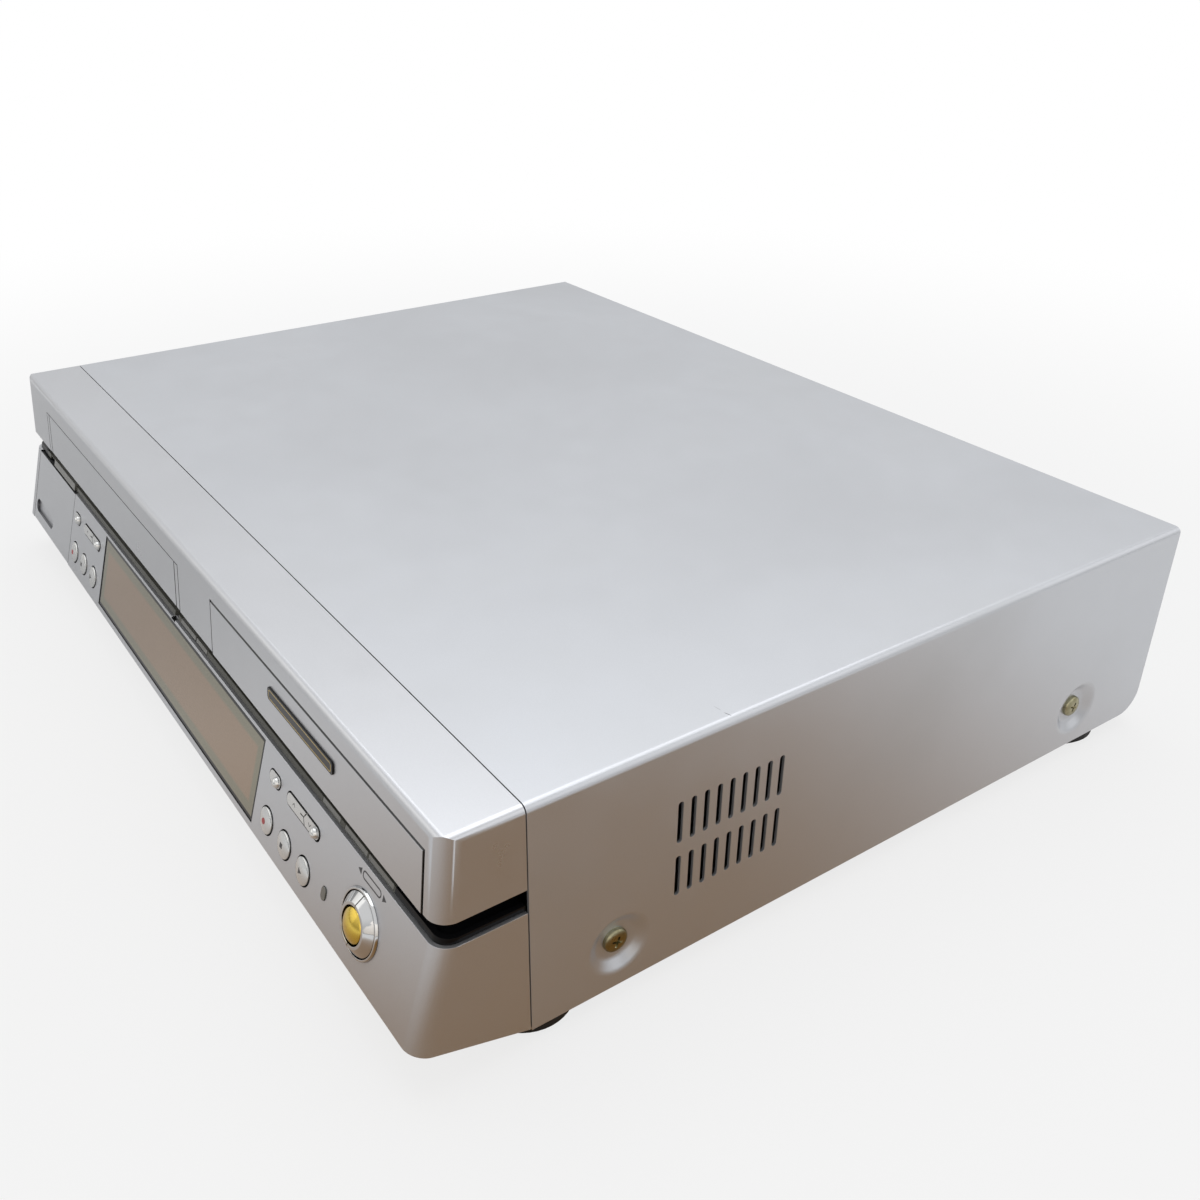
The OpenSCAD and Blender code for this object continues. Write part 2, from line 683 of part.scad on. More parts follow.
face_z = [lower_top_z + 0.35, lower_top_z + bar_h];

module power_button() gap_key(power_face, power_key, [0.45, 2], [lower_top_z, lower_top_z + 3]);
module eject_button() gap_key(eject_face, eject_key, [bar_in - 0.1, bar_in + 1.4], face_z);
module open_button() gap_key(open_face, open_key, [bar_in - 0.1, bar_in + 1.4], face_z);

led_x = 366.7;
led_s = 0.661 * lower_len;
led_w = 2.9;
led_h = 4.7;

// One of the windows let into the bar's face; grow makes the pocket round it
module bar_lens(x, side_gap, over) leaning([x[0] - side_gap, x[1] + side_gap],
    [bar_in - over, bar_in + 1], [lower_top_z + 0.3, lower_top_z + bar_h + over]);

module indicator_lenses() color("#8c8f86") {
    for (x = lens_x) bar_lens(x, 0, 0);
    face_spot(across(led_x), led_s) translate([0, 0, -wall_t - 1]) linear_extrude(wall_t + 1.4)
        rotate(90) pill(led_h, led_w);
}

window_x = [126, 310.5];
window_s = [1.2, lower_len - wall_t];
flap_x = [10, 75];
dial_x = 390;
dial_s = min(0.511 * lower_len, lower_len - wall_t - bezel_r - 0.4);
pill_s = 0.261 * lower_len;
round_s = min(0.7164 * lower_len, lower_len - wall_t - button_r - 1.3);
left_pills = [83, 106.8];
right_pills = [322.3, 345];
left_rounds = [84.2, 84.2 + button_pitch, 84.2 + 2 * button_pitch];
right_rounds = [321.5, 321.5 + button_pitch, 321.5 + 2 * button_pitch];
flap_pin_d = 3.9;
flap_pin_s = lower_len - 2.6;
flap_t = 2.2;
flap_boss = 3.4;
flap_pin_r = 1;

module front_lower_panel() color("#c0c1bd") difference() {
    union() {
        difference() {
            intersection() {
                lower_solid(0, lower_len);
                level(foot_h - 20, lower_top_z, 0);
            }
            intersection() {
                lower_solid(wall_t, lower_len - wall_t);
                level(foot_h - 20, lower_top_z - wall_t, 1);
            }
        }
        for (x = [across(flap_x[0]) - flap_boss, across(flap_x[1])]) on_lower()
            block([x, x + flap_boss], [wall_t - 0.01, 8], [-lower_len + wall_t - 0.2, -lower_len + 7]);
    }
    on_lower() block([across(window_x[0]), across(window_x[1])], [-1, wall_t + 0.5],
        [-window_s[1], -window_s[0]]);
    on_lower() block([across(flap_x[0]), across(flap_x[1])], [-5, 8.2], [-lower_len - 5, 5]);
    on_lower() rod_x([across(flap_x[0]) - 2.6, across(flap_x[1]) + 2.6], flap_pin_d, -flap_pin_s,
        flap_pin_r + run_gap);
    for (x = concat(left_rounds, right_rounds)) face_spot(across(x), round_s)
        translate([0, 0, -wall_t - 1]) cylinder(h = wall_t + 2, r = button_r + key_gap);
    for (x = [left_pills[0], right_pills[0]]) face_spot(across(x), pill_s)
        translate([0, 0, -wall_t - 1]) linear_extrude(wall_t + 2)
            pill(pill_l + 2 * key_gap, pill_h + 2 * key_gap);
    for (x = [left_pills[1], right_pills[1]]) face_spot(across(x), pill_s)
        translate([0, 0, -wall_t - 1]) linear_extrude(wall_t + 2)
            pill(rocker_l + 2 * key_gap, pill_h + 2 * key_gap);
    face_spot(across(led_x), led_s) translate([0, 0, -wall_t - 1]) linear_extrude(wall_t + 2)
        rotate(90) pill(led_h + 0.2, led_w + 0.2);
    on_lower() block([across(sensor_hole[0]), across(sensor_hole[1])], [-1, 1.6], [-0.7, 1]);
    face_spot(across(dial_x), dial_s) translate([0, 0, -wall_t - 1])
        cylinder(h = wall_t + 2, r = bezel_r - 0.6);
}

module display_window() color("#8d7f6d") on_lower() {
    fit = 0.15;
    block([across(window_x[0]) + fit, across(window_x[1]) - fit], [0.25, wall_t],
        [-window_s[1] + fit, -window_s[0] - fit]);
    block([across(window_x[0]) - 2, across(window_x[1]) + 2], [wall_t, wall_t + 0.8],
        [-window_s[1] + 0.05, -window_s[0] - wall_t - 1]);
}

tube_d = [4.2, 9];
op_board_d = [10, 11.6];
op_board_x = [82 - 5, 409];

module display_tube() color("#2a3430") on_lower() {
    block([across(140), across(296)], tube_d, [-lower_len + 8, -7]);
    for (x = [146, 290]) block([across(x) - 3, across(x) + 3], [tube_d[1], op_board_d[0]],
        [-lower_len + 10, -9]);
}

switch_top = 6.3;
rocker_pin_d = wall_t + 2;
rocker_pin_r = 0.9;
cheek_s = pill_h / 2 + 1;

module push_switch(x, s) on_lower() {
    block([across(x) - 3, across(x) + 3], [switch_top + 1.2, op_board_d[0]], [-s - 3, -s + 3]);
    translate([across(x), switch_top, -s]) rotate([-90, 0, 0]) cylinder(h = 1.3, r = 1.5);
}

module operation_board() color("#31603f") {
    on_lower() block([across(op_board_x[0]), across(op_board_x[1])], op_board_d,
        [-lower_len + 4.5, -3.5]);
    for (x = concat(left_rounds, right_rounds)) push_switch(x, round_s);
    for (x = [left_pills[0], right_pills[0], left_pills[1] - 8, left_pills[1] + 8,
        right_pills[1] - 8, right_pills[1] + 8]) push_switch(x, pill_s);
    for (x = [dial_x - 8, dial_x, dial_x + 8]) push_switch(x, dial_s);
    on_lower() for (x = [92, 218, 330, 400]) block([across(x) - 6, across(x) + 6],
        op_board_d, [-lower_len + wall_t, -lower_len + 5]);
    for (x = [left_pills[1], right_pills[1]]) on_lower() difference() {
        for (side = [-1, 1]) block([across(x) - 1.8, across(x) + 1.8], [wall_t + 0.7, op_board_d[0]],
            [-pill_s + side * cheek_s - 0.6, -pill_s + side * cheek_s + 0.6]);
        translate([across(x), rocker_pin_d, -pill_s]) cylinder(h = 20, r = rocker_pin_r + run_gap,
            center = true);
    }
    for (key = [power_key, eject_key, open_key]) {
        mid = (key[0] + key[1]) / 2;
        on_upper() block([across(mid) - 2.5, across(mid) + 2.5], [key_board_d - 2.4, key_board_d],
            [-(key_s[0] + key_s[1]) / 2 - 1.5, -(key_s[0] + key_s[1]) / 2 + 1.5]);
    }
    for (x = [[power_key[0] - 2, power_key[1] + 2], [eject_key[0] - 1, open_key[1] + 1]])
        intersection() {
            on_upper() block([across(x[0]), across(x[1])], [key_board_d, key_board_d + board_t],
                [-lower_drop - 5, -key_s[0] + 1]);
            level(lower_top_z, top_z, 0);
        }
}

// ---------------------------------------------------------------- front buttons

stem_d = switch_top - press - 0.1;

// A crowned round button with a flange behind the panel and a stem to its switch
module round_button(x, s) face_spot(across(x), s) {
    rise = 1.3;
    crown = 14;
    intersection() {
        translate([0, 0, -wall_t - 0.5]) cylinder(h = wall_t + 0.5 + rise, r = button_r);
        translate([0, 0, rise - crown]) sphere(r = crown, $fn = 96);
    }
    translate([0, 0, -wall_t - 1.3]) cylinder(h = 1.2, r = button_r + 1);
    translate([0, 0, -stem_d]) cylinder(h = stem_d - wall_t - 1.2, r = 1.8);
}

module left_round_1() color("#c9cbc8") round_button(left_rounds[0], round_s);
module left_round_2() color("#c9cbc8") round_button(left_rounds[1], round_s);
module left_round_3() color("#c9cbc8") round_button(left_rounds[2], round_s);
module record_button() color("#c9cbc8") round_button(right_rounds[0], round_s);
module stop_button() color("#c9cbc8") round_button(right_rounds[1], round_s);
module play_button() color("#c9cbc8") round_button(right_rounds[2], round_s);

// A small pill-shaped push button with a raised dome at its right end
module small_pill(x) face_spot(across(x), pill_s) {
    translate([0, 0, -wall_t - 0.5]) linear_extrude(wall_t + 0.75) pill(pill_l, pill_h);
    translate([0, 0, -wall_t - 1.3]) linear_extrude(1.2) pill(pill_l + 2, pill_h + 2);
    translate([0, 0, -stem_d]) cylinder(h = stem_d - wall_t - 1.2, r = 1.8);
    knob_dome((pill_l - pill_h) / 2);
}

// The round knob that a thumb finds at a pill's right end
module knob_dome(x) translate([x, 0, 0.2]) intersection() {
    sphere(r = 1.95);
    cylinder(h = 2, r = 1.95);
}

module left_small_button() color("#c9cbc8") small_pill(left_pills[0]);
module right_small_button() color("#c9cbc8") small_pill(right_pills[0]);

// A long two-way rocker: a V ridge in the middle, pivoting on a pin behind the panel
module long_rocker(x) face_spot(across(x), pill_s) {
    difference() {
        union() {
            translate([0, 0, -wall_t - 0.6]) linear_extrude(wall_t + 0.9) pill(rocker_l - 0.4, pill_h - 0.2);
            knob_dome((rocker_l - pill_h) / 2 - 0.4);
        }
        for (turn = [55, -55, 180]) translate([0.8, 0, 0.3]) rotate([0, 0, turn])
            translate([turn > 60 ? 0.1 : -0.2, -0.25, -0.4]) cube([turn > 60 ? 2.4 : 3, 0.5, 1]);
    }
    translate([0, 0, -rocker_pin_d]) rotate([90, 0, 0]) {
        cylinder(h = pill_h - 0.4, r = rocker_pin_r + 0.9, center = true);
        cylinder(h = 2 * cheek_s + 1, r = rocker_pin_r, center = true);
    }
    block([-1.2, 1.2], [-pill_h / 2 + 0.2, pill_h / 2 - 0.2], [-rocker_pin_d, -wall_t - 0.5]);
    for (side = [-1, 1]) block([side * 8 - 1, side * 8 + 1], [-1.2, 1.2],
        [-switch_top + 0.55, -wall_t - 0.5]);
}

module left_rocker() color("#c9cbc8") long_rocker(left_pills[1]);
module right_rocker() color("#c9cbc8") long_rocker(right_pills[1]);

ring_in = gold_r + 0.5;
ring_out_r = bezel_r - 1.2;

module dial_bezel() color("#d8d9da") face_spot(across(dial_x), dial_s) difference() {
    union() {
        translate([0, 0, 0]) cylinder(h = 0.9, r1 = bezel_r, r2 = bezel_r - 0.4);
        translate([0, 0, -wall_t]) cylinder(h = wall_t, r = bezel_r - 0.7);
    }
    translate([0, 0, -wall_t - 1]) cylinder(h = wall_t + 3, r = bezel_r - 1.2 + 0.2);
}

// One half of the sloping chrome ring, cut along the upright
module ring_half(side) face_spot(across(dial_x), dial_s) difference() {
    r = ring_out_r - 0.1;
    union() {
        translate([0, 0, -wall_t - 0.3]) cylinder(h = wall_t + 1, r = r);
        translate([0, 0, 0.7]) cylinder(h = 2.3, r1 = r, r2 = ring_in + 1);
        translate([0, 0, -wall_t - 1.4]) cylinder(h = 1.2, r = r + 1.4);
        translate([side * 8, 0, -stem_d]) cylinder(h = stem_d - wall_t - 0.5, r = 1.6);
    }
    translate([0, 0, -wall_t - 2]) cylinder(h = 12, r = ring_in);
    block([side > 0 ? -30 : -0.15, side > 0 ? 0.15 : 30], [-30, 30], [-9, 9]);
}

module dial_left() color("#d8d9da") ring_half(-1);
module dial_right() color("#d8d9da") ring_half(1);

module dial_center() color("#c09c30") face_spot(across(dial_x), dial_s) {
    dome = 9;
    rise = 4.6;
    intersection() {
        translate([0, 0, -wall_t - 1]) cylinder(h = wall_t + 1 + rise, r = gold_r);
        translate([0, 0, rise - dome]) sphere(r = dome, $fn = 96);
    }
    translate([0, 0, -stem_d]) cylinder(h = stem_d - wall_t - 0.9, r = 1.8);
}

// ---------------------------------------------------------------- front input flap

module input_flap() color("#c0c1bd") on_lower() {
    x0 = across(flap_x[0]) + move_gap;
    x1 = across(flap_x[1]) - move_gap;
    low = -flap_pin_s - flap_pin_r - 1.2;
    difference() {
        block([x0, x1], [0, flap_t], [low, -0.4]);
        translate([across(28.5), 1.3, -lower_len + 8.4]) rotate([90, 0, 0]) linear_extrude(2.5)
            pill(31, 6.4);
    }
    rod_x([x0, x1], flap_pin_d, -flap_pin_s, flap_pin_r + 0.8);
    block([x0, x1], [flap_t - 0.01, flap_pin_d], [-flap_pin_s - 1, -flap_pin_s + 1]);
    rod_x([x0 - 2.2, x1 + 2.2], flap_pin_d, -flap_pin_s, flap_pin_r);
}

module front_jacks() color("#1b1b1c") on_lower() {
    x0 = across(flap_x[0]) + 0.2;
    x1 = across(flap_x[1]) - 0.2;
    difference() {
        block([x0, x1], [9, 14], [-lower_len + wall_t, -wall_t - 2]);
        for (i = [0 : 3]) translate([across(19 + 15.5 * i), 8, -15]) rotate([-90, 0, 0])
            cylinder(h = 5, r = i == 0 ? 4.4 : 5);
    }
    for (i = [1 : 3]) translate([across(19 + 15.5 * i), 6.4, -15]) rotate([-90, 0, 0]) difference() {
        cylinder(h = 7, r = socket_r);
        translate([0, 0, -1]) cylinder(h = 6, r = 1.6);
    }
    translate([across(19), 11.5, -15]) rotate([-90, 0, 0]) difference() {
        cylinder(h = 2, r = 3.6);
        for (i = [0 : 3]) rotate([0, 0, 90 * i + 45]) translate([2, 0, -1]) cylinder(h = 2.5, r = 0.5);
    }
}

// ---------------------------------------------------------------- cassette door

lip_d = [5, 6.5];

module vhs_door() color("#c8cacc") on_upper() {
    x0 = across(slot_left) + end_gap;
    x1 = across(slot_right) - end_gap;
    low = -(upper_h - 0.3) / up_cos;
    difference() {
        block([x0, x1], [0, door_t], [low, -door_top - move_gap]);
        for (x = [x0 + 3.5, x1 - 4]) block([x, x + 0.5], [-1, 0.35], [low - 1, -door_top]);
    }
    block([x0, x1], [0.5, lip_d[1]], [low, low + 1.5]);
    block([x0 + 4, x1 - 4], lip_d, [-(lower_drop - 2) / up_cos, low + 1]);
    block([x0, x1], [door_t - 0.01, pivot_d], [-door_top - move_gap - 1.5, -door_top - move_gap]);
    block([x0, x1], [pivot_d - 1, pivot_d + 0.8], [-door_top - move_gap - 1.5, -pivot_s]);
    rod_x([x0, x1], pivot_d, -pivot_s, pivot_r);
    rod_x([x0 - pin_l, x1 + pin_l], pivot_d, -pivot_s, pin_r);
}

// ---------------------------------------------------------------- disc tray and drive

drive_c = across(tray_left + tray_open_w / 2);
tray_z = down(14);
tray_floor_z = tray_z - 4.2;
tray_low_z = tray_z - 8;
tray_front_y = back(3);
tray_len = 182;
disc_y = tray_front_y + disc_r + 8;
hub_slot_w = 44;
pitch_r = gear_m * pinion_teeth / 2;
rack_x = drive_c + 58;
gear_x = rack_x - pitch_r;
gear_y = back(30);
tooth_pitch = PI * gear_m;
add_k = 0.85;
ded_k = 1.15;
skirt_t = 2;
edge_w = 4;
edge_t = 2;

module tray_front() color("#c8cacc") difference() {
    union() {
        on_upper() block([across(tray_left) + move_gap, across(tray_right) - tray_end_gap], [0, 2.5],
            [-(upper_h + 0.8) / up_cos, -tray_top - tray_seam]);
        block([drive_c - 62, drive_c + 62], [back(0), tray_front_y], [tray_low_z, tray_z + 1]);
    }
    on_upper() translate([0, 0, -tray_top - tray_seam]) rotate([45, 0, 0])
        block([across(tray_left) - 1, across(tray_right) + 1], [-0.4, 0.4], [-0.4, 0.4]);
}

module badge_plate() color("#0f0f10") on_upper() translate([across(341), 0, -16.35])
    rotate([90, 0, 0]) linear_extrude(0.6) {
        for (side = [-1, 1], up = [-1, 1]) translate([side * 23.8, up * 1.15]) circle(1.2);
        square([47.6, 4.7], center = true);
        square([50, 2.3], center = true);
    }

// Rack teeth pointing to -X, with a gap centred on the pinion
module rack_2d(first, count) for (i = [0 : count - 1]) {
    y = first + tooth_pitch * i;
    half = tooth_pitch / 4 - tooth_play / 2;
    tip = add_k * gear_m;
    root = ded_k * gear_m;
    polygon([[0.3 + root, y - half - root * tan(20)], [-tip, y - half + tip * tan(20)],
        [-tip, y + half - tip * tan(20)], [0.3 + root, y + half + root * tan(20)]]);
}

module disc_tray() color("#2b2c2e") difference() {
    union() {
        w = disc_tray_w / 2;
        tray_back = tray_front_y + tray_len;
        difference() {
            union() {
                block([drive_c - w + edge_w, drive_c + w - edge_w], [tray_front_y, tray_back],
                    [tray_low_z, tray_z]);
                block([drive_c - w, drive_c + w], [tray_front_y + 24, tray_back],
                    [tray_z - edge_t, tray_z]);
            }
            block([drive_c - w + edge_w + skirt_t, drive_c + w - edge_w - skirt_t],
                [tray_front_y + skirt_t, tray_back + 1], [tray_low_z - 1, tray_floor_z]);
        }
        count = floor(tray_travel / tooth_pitch) + 4;
        translate([rack_x, 0, tray_low_z + 0.4]) linear_extrude(tray_floor_z - tray_low_z - 0.4) {
            rack_2d(gear_y - 1.5 * tooth_pitch, count);
            translate([ded_k * gear_m, gear_y - 2.5 * tooth_pitch])
                square([2, (count + 2) * tooth_pitch]);
        }
    }
    rod_z(drive_c, disc_y, [tray_z - 2.2, tray_z + 1], disc_r);
    rod_z(drive_c, disc_y, [tray_z - 3.2, tray_z], 41);
    block([drive_c - hub_slot_w / 2, drive_c + hub_slot_w / 2],
        [disc_y, tray_front_y + tray_len + 1], [tray_low_z - 1, tray_z + 1]);
    rod_z(drive_c, disc_y, [tray_low_z - 1, tray_z + 1], hub_slot_w / 2);
}

// Involute gear outline
function inv_deg(a) = (tan(a) - a * PI / 180) * 180 / PI;
function tooth_half(r, rp, teeth) = 90 / teeth - tooth_play / 2 / rp * 180 / PI + inv_deg(20)
    - inv_deg(acos(min(1, rp * cos(20) / r)));

module gear_2d(teeth, turn) {
    rp = gear_m * teeth / 2;
    root = rp - ded_k * gear_m;
    base = max(rp * cos(20), root);
    tip = rp + add_k * gear_m;
    radii = [root, base + 0.01, base + (tip - base) / 3, base + (tip - base) * 2 / 3, tip];
    polygon([for (i = [0 : teeth - 1]) each concat(
        [for (r = radii) let (a = turn + i * 360 / teeth - tooth_half(max(r, base), rp, teeth))
            [r * cos(a), r * sin(a)]],
        [for (k = [len(radii) - 1 : -1 : 0]) let (r = radii[k],
            a = turn + i * 360 / teeth + tooth_half(max(r, base), rp, teeth))
            [r * cos(a), r * sin(a)]])]);
}

wheel_z = [tray_low_z - 5, tray_low_z - 1.5];
pinion_z = [tray_low_z - 1.5, tray_floor_z - 0.8];
mesh_d = gear_m * (wheel_teeth + pulley_teeth) / 2;
mesh_a = 180;
pulley_x = gear_x + mesh_d * cos(mesh_a);
pulley_y = gear_y + mesh_d * sin(mesh_a);
base_z = [down(36), down(34)];
gear_pin_r = 2;

module tray_gear() color("#e6e3d8") translate([gear_x, gear_y, 0]) difference() {
    union() {
        translate([0, 0, pinion_z[0]]) linear_extrude(pinion_z[1] - pinion_z[0])
            gear_2d(pinion_teeth, 0);
        translate([0, 0, wheel_z[0]]) linear_extrude(wheel_z[1] - wheel_z[0])
            gear_2d(wheel_teeth, mesh_a);
        translate([0, 0, base_z[1] + 0.3]) cylinder(h = wheel_z[0] - base_z[1] - 0.3, r = 4);
    }
    translate([0, 0, base_z[1]]) cylinder(h = 60, r = gear_pin_r + run_gap);
}

module pulley_gear() color("#e6e3d8") translate([pulley_x, pulley_y, 0]) difference() {
    union() {
        translate([0, 0, wheel_z[0] - 0.5]) linear_extrude(wheel_z[1] - wheel_z[0])
            gear_2d(pulley_teeth, mesh_a + 180 + 180 / pulley_teeth);
        translate([0, 0, wheel_z[0] - 4.5]) cylinder(h = 4, r = 11);
        translate([0, 0, base_z[1] + 0.3]) cylinder(h = wheel_z[0] - 4.5 - base_z[1] - 0.3, r = 3.5);
    }
    translate([0, 0, wheel_z[0] - 2.5]) rotate_extrude() translate([11.6, 0]) circle(1.4);
    translate([0, 0, base_z[1]]) cylinder(h = 60, r = gear_pin_r + run_gap);
}

wall_x = disc_tray_w / 2 + 0.4;
base_wall = 3;
base_front = back(panel_d) + 1.5;
base_back = base_front + 172;
rail_t = 2;
rail_w = 2.8;
motor_r = 12;
motor_z = [base_z[1], tray_low_z - 2];
rod_x_off = 22;
rod_z_mid = tray_low_z - 5.5;
rod_y0 = disc_y + 16;
rod_y1 = base_back - 12;

module drive_base() color("#232425") difference() {
    union() {
        block([drive_c - wall_x - base_wall, drive_c + wall_x + base_wall], [base_front, base_back],
            base_z);
        block([pulley_x - 8, gear_x + 14], [gear_y - 12, base_front + 1], base_z);
        for (side = [-1, 1]) {
            inner = drive_c + side * wall_x;
            outer = inner + side * base_wall;
            block([min(inner, outer), max(inner, outer)], [base_front, base_back],
                [base_z[0], tray_z + 3]);
            tip = inner - side * rail_w;
            block([min(inner, tip), max(inner, tip)], [base_front, base_back],
                [tray_z - edge_t - 0.3 - rail_t, tray_z - edge_t - 0.3]);
            block([min(inner, tip), max(inner, tip)], [base_front + 4, base_front + 40],
                [tray_z + 0.3, tray_z + 0.3 + rail_t]);
            for (y = [base_front + 8, base_back - 8])
                rod_z(drive_c + side * (wall_x - 6), y, [pan_z[1], base_z[0]], 4);
        }
        rod_z(gear_x, gear_y, [base_z[1], pinion_z[1] - 0.5], gear_pin_r);
        rod_z(pulley_x, pulley_y, [base_z[1], wheel_z[1] - 1], gear_pin_r);
        for (side = [-1, 1], y = [rod_y0 - 6, rod_y1])
            block([drive_c + side * rod_x_off - 4, drive_c + side * rod_x_off + 4], [y, y + 6],
                [base_z[1], rod_z_mid + 3.4]);
    }
    for (side = [-1, 1]) rod_y(drive_c + side * rod_x_off, [rod_y0 - 3.5, rod_y1 + 3.5], rod_z_mid,
        rod_r);
    block([drive_c - 15, drive_c + 15], [rod_y0 + 4, rod_y1 - 4], [base_z[0] - 1, base_z[1] + 1]);
}

module guide_rods() color("#c9cccd") for (side = [-1, 1])
    rod_y(drive_c + side * rod_x_off, [rod_y0 - 3.5, rod_y1 + 3.5], rod_z_mid, rod_r);

module laser_sled() color("#3a3c3f") {
    y0 = rod_y0 + 1;
    len = 24;
    top = tray_low_z - 1.5;
    difference() {
        union() {
            block([drive_c - 13, drive_c + 13], [y0, y0 + len], [top - 7, top]);
            block([drive_c + 12.9, drive_c + rod_x_off + 3], [y0, y0 + len],
                [rod_z_mid - 2.6, rod_z_mid + 2.6]);
            block([drive_c - rod_x_off - 3, drive_c - 12.9], [y0 + 8, y0 + 14],
                [rod_z_mid - 2.6, rod_z_mid + 2.6]);
            rod_z(drive_c, y0 + 8, [top - 0.1, tray_floor_z - 0.3], 4.5);
        }
        for (side = [-1, 1]) rod_y(drive_c + side * rod_x_off, [y0 - 1, y0 + len + 1], rod_z_mid,
            rod_r + run_gap);
        block([drive_c - rod_x_off - 4, drive_c - rod_x_off], [y0 - 1, y0 + len + 1],
            [rod_z_mid - rod_r - run_gap, rod_z_mid + rod_r + run_gap]);
        rod_z(drive_c, y0 + 8, [tray_floor_z - 0.8, tray_floor_z], 2.8);
    }
}

module spindle_motor() color("#a9abad") difference() {
    rod_z(drive_c, disc_y, motor_z, motor_r);
    rod_z(drive_c, disc_y, [motor_z[0] + 1.5, motor_z[1] + 1], 1 + run_gap);
}

module turntable() color("#54565a") {
    hub_top = tray_z - 0.8;
    seat = tray_z - 2.6;
    rod_z(drive_c, disc_y, [motor_z[0] + 2, motor_z[1] + 1], 1);
    rod_z(drive_c, disc_y, [motor_z[1] + 0.3, seat], 13);
    rod_z(drive_c, disc_y, [seat, hub_top - 0.8], 7.4);
    translate([drive_c, disc_y, hub_top - 0.8]) cylinder(h = 0.8, r1 = 7.4, r2 = 6.4);
}

module drive_case() color("#b5b7b9") {
    out = wall_x + base_wall + 0.2;
    case_z = [tray_z + 3, tray_z + 3 + sheet_t];
    difference() {
        block([drive_c - out - sheet_t, drive_c + out + sheet_t], [base_front + 1, base_back],
            [base_z[0] + 4, case_z[1]]);
        block([drive_c - out, drive_c + out], [base_front - 1, base_back + 1],
            [base_z[0] - 1, case_z[0]]);
        rod_z(drive_c, disc_y, [case_z[0] - 1, case_z[1] + 1], 16);
        for (side = [-1, 1]) translate([drive_c + side * 52, disc_y + 30, case_z[0] - 1])
            linear_extrude(3) rotate(90) pill(60, 4);
    }
}

// ---------------------------------------------------------------- cassette deck

deck_x = [across(28), across(236)];
deck_y = [back(37), back(282)];
deck_z = [down(57.2), down(56)];
slot_c = across(slot_left + slot_w / 2);
cassette_floor = lower_drop - bar_h - 0.25;
holder_h = 27.6;
holder_y = [back(37), back(37 + 104)];
holder_x = [across(slot_left) + 0.6, across(slot_right) - 0.6];
holder_t = 1;
holder_top = down(cassette_floor + 1.2) + holder_h;
side_x = [holder_x[0] - 2.2, holder_x[1] + 1.2];
drum_y = holder_y[1] + holder_travel + drum_r + 4;
drum_x = slot_c - 6;
drum_mid_z = down(36);
reel_y = holder_y[1] + holder_travel - 42;
capstan_x = slot_c + 62;
capstan_y = drum_y - 22;
guide_z = [down(30), down(18)];
pin_reach = 2.2;
slot_r = 1.6;

module deck_chassis() color("#8b8e90") difference() {
    union() {
        block(deck_x, deck_y, deck_z);
        for (x = [deck_x[0] + 6, deck_x[1] - 6], y = [deck_y[0] + 8, (deck_y[0] + deck_y[1]) / 2,
            deck_y[1] - 8]) rod_z(x, y, [pan_z[1], deck_z[0]], 4);
        for (x = [slot_c - reel_pitch / 2, slot_c + reel_pitch / 2])
            rod_z(x, reel_y, [deck_z[0] - 6, deck_z[0]], 5);
        rod_z(capstan_x, capstan_y, [deck_z[0] - 5, deck_z[1] + 6], 5);
        for (x = [drum_x - drum_r - 9, drum_x + drum_r + 9])
            rod_z(x, drum_y - 12, [deck_z[1], drum_mid_z + 6], 2.4);
    }
    for (x = [slot_c - reel_pitch / 2, slot_c + reel_pitch / 2])
        rod_z(x, reel_y, [deck_z[0] - 7, deck_z[1] + 1], 2 + run_gap);
    rod_z(capstan_x, capstan_y, [deck_z[0] - 6, deck_z[1] + 7], 1.5 + run_gap);
    rod_z(drum_x, drum_y, [deck_z[0] - 1, deck_z[1] + 1], drum_r - 6);
    for (y = [reel_y - 30, reel_y + 24]) translate([slot_c, y, deck_z[0] - 1]) linear_extrude(3)
        pill(70, 9);
}

module lower_drum() color("#b9bcbe") difference() {
    union() {
        rod_z(drum_x, drum_y, [deck_z[1], drum_mid_z - 0.3], drum_r);
        rod_z(drum_x, drum_y, [deck_z[0] - 8, deck_z[1]], drum_r - 6.2);
    }
    translate([drum_x, drum_y, drum_mid_z - 8]) difference() {
        cylinder(h = 1.2, r = drum_r + 1);
        translate([0, 0, -1]) cylinder(h = 4, r = drum_r - 0.6);
    }
    rod_z(drum_x, drum_y, [deck_z[0] - 6, drum_mid_z + 1], 2 + run_gap);
}

module upper_drum() color("#cfd2d4") difference() {
    union() {
        rod_z(drum_x, drum_y, [drum_mid_z, drum_mid_z + 15], drum_r);
        rod_z(drum_x, drum_y, [drum_mid_z + 15, drum_mid_z + 18], 13);
        rod_z(drum_x, drum_y, [deck_z[0] - 5, drum_mid_z + 1], 2);
    }
    for (turn = [45, 135, 225, 315]) translate([drum_x, drum_y, 0]) rotate([0, 0, turn])
        block([drum_r - 3, drum_r + 1], [-2, 2], [drum_mid_z - 1, drum_mid_z + 4]);
    difference() {
        rod_z(drum_x, drum_y, [drum_mid_z + 12, drum_mid_z + 16], drum_r - 4);
        rod_z(drum_x, drum_y, [drum_mid_z, drum_mid_z + 17], 14);
    }
}

module capstan_flywheel() color("#a7a9ab") {
    wheel_top = deck_z[0] - 5.4;
    rod_z(capstan_x, capstan_y, [wheel_top - 1, down(30)], 1.5);
    difference() {
        rod_z(capstan_x, capstan_y, [wheel_top - 7, wheel_top], flywheel_r);
        translate([capstan_x, capstan_y, wheel_top - 3.5]) rotate_extrude()
            translate([flywheel_r + 0.8, 0]) circle(1.8);
        difference() {
            rod_z(capstan_x, capstan_y, [wheel_top - 2, wheel_top + 1], flywheel_r - 4);
            rod_z(capstan_x, capstan_y, [wheel_top - 3, wheel_top + 2], 5);
        }
    }
}

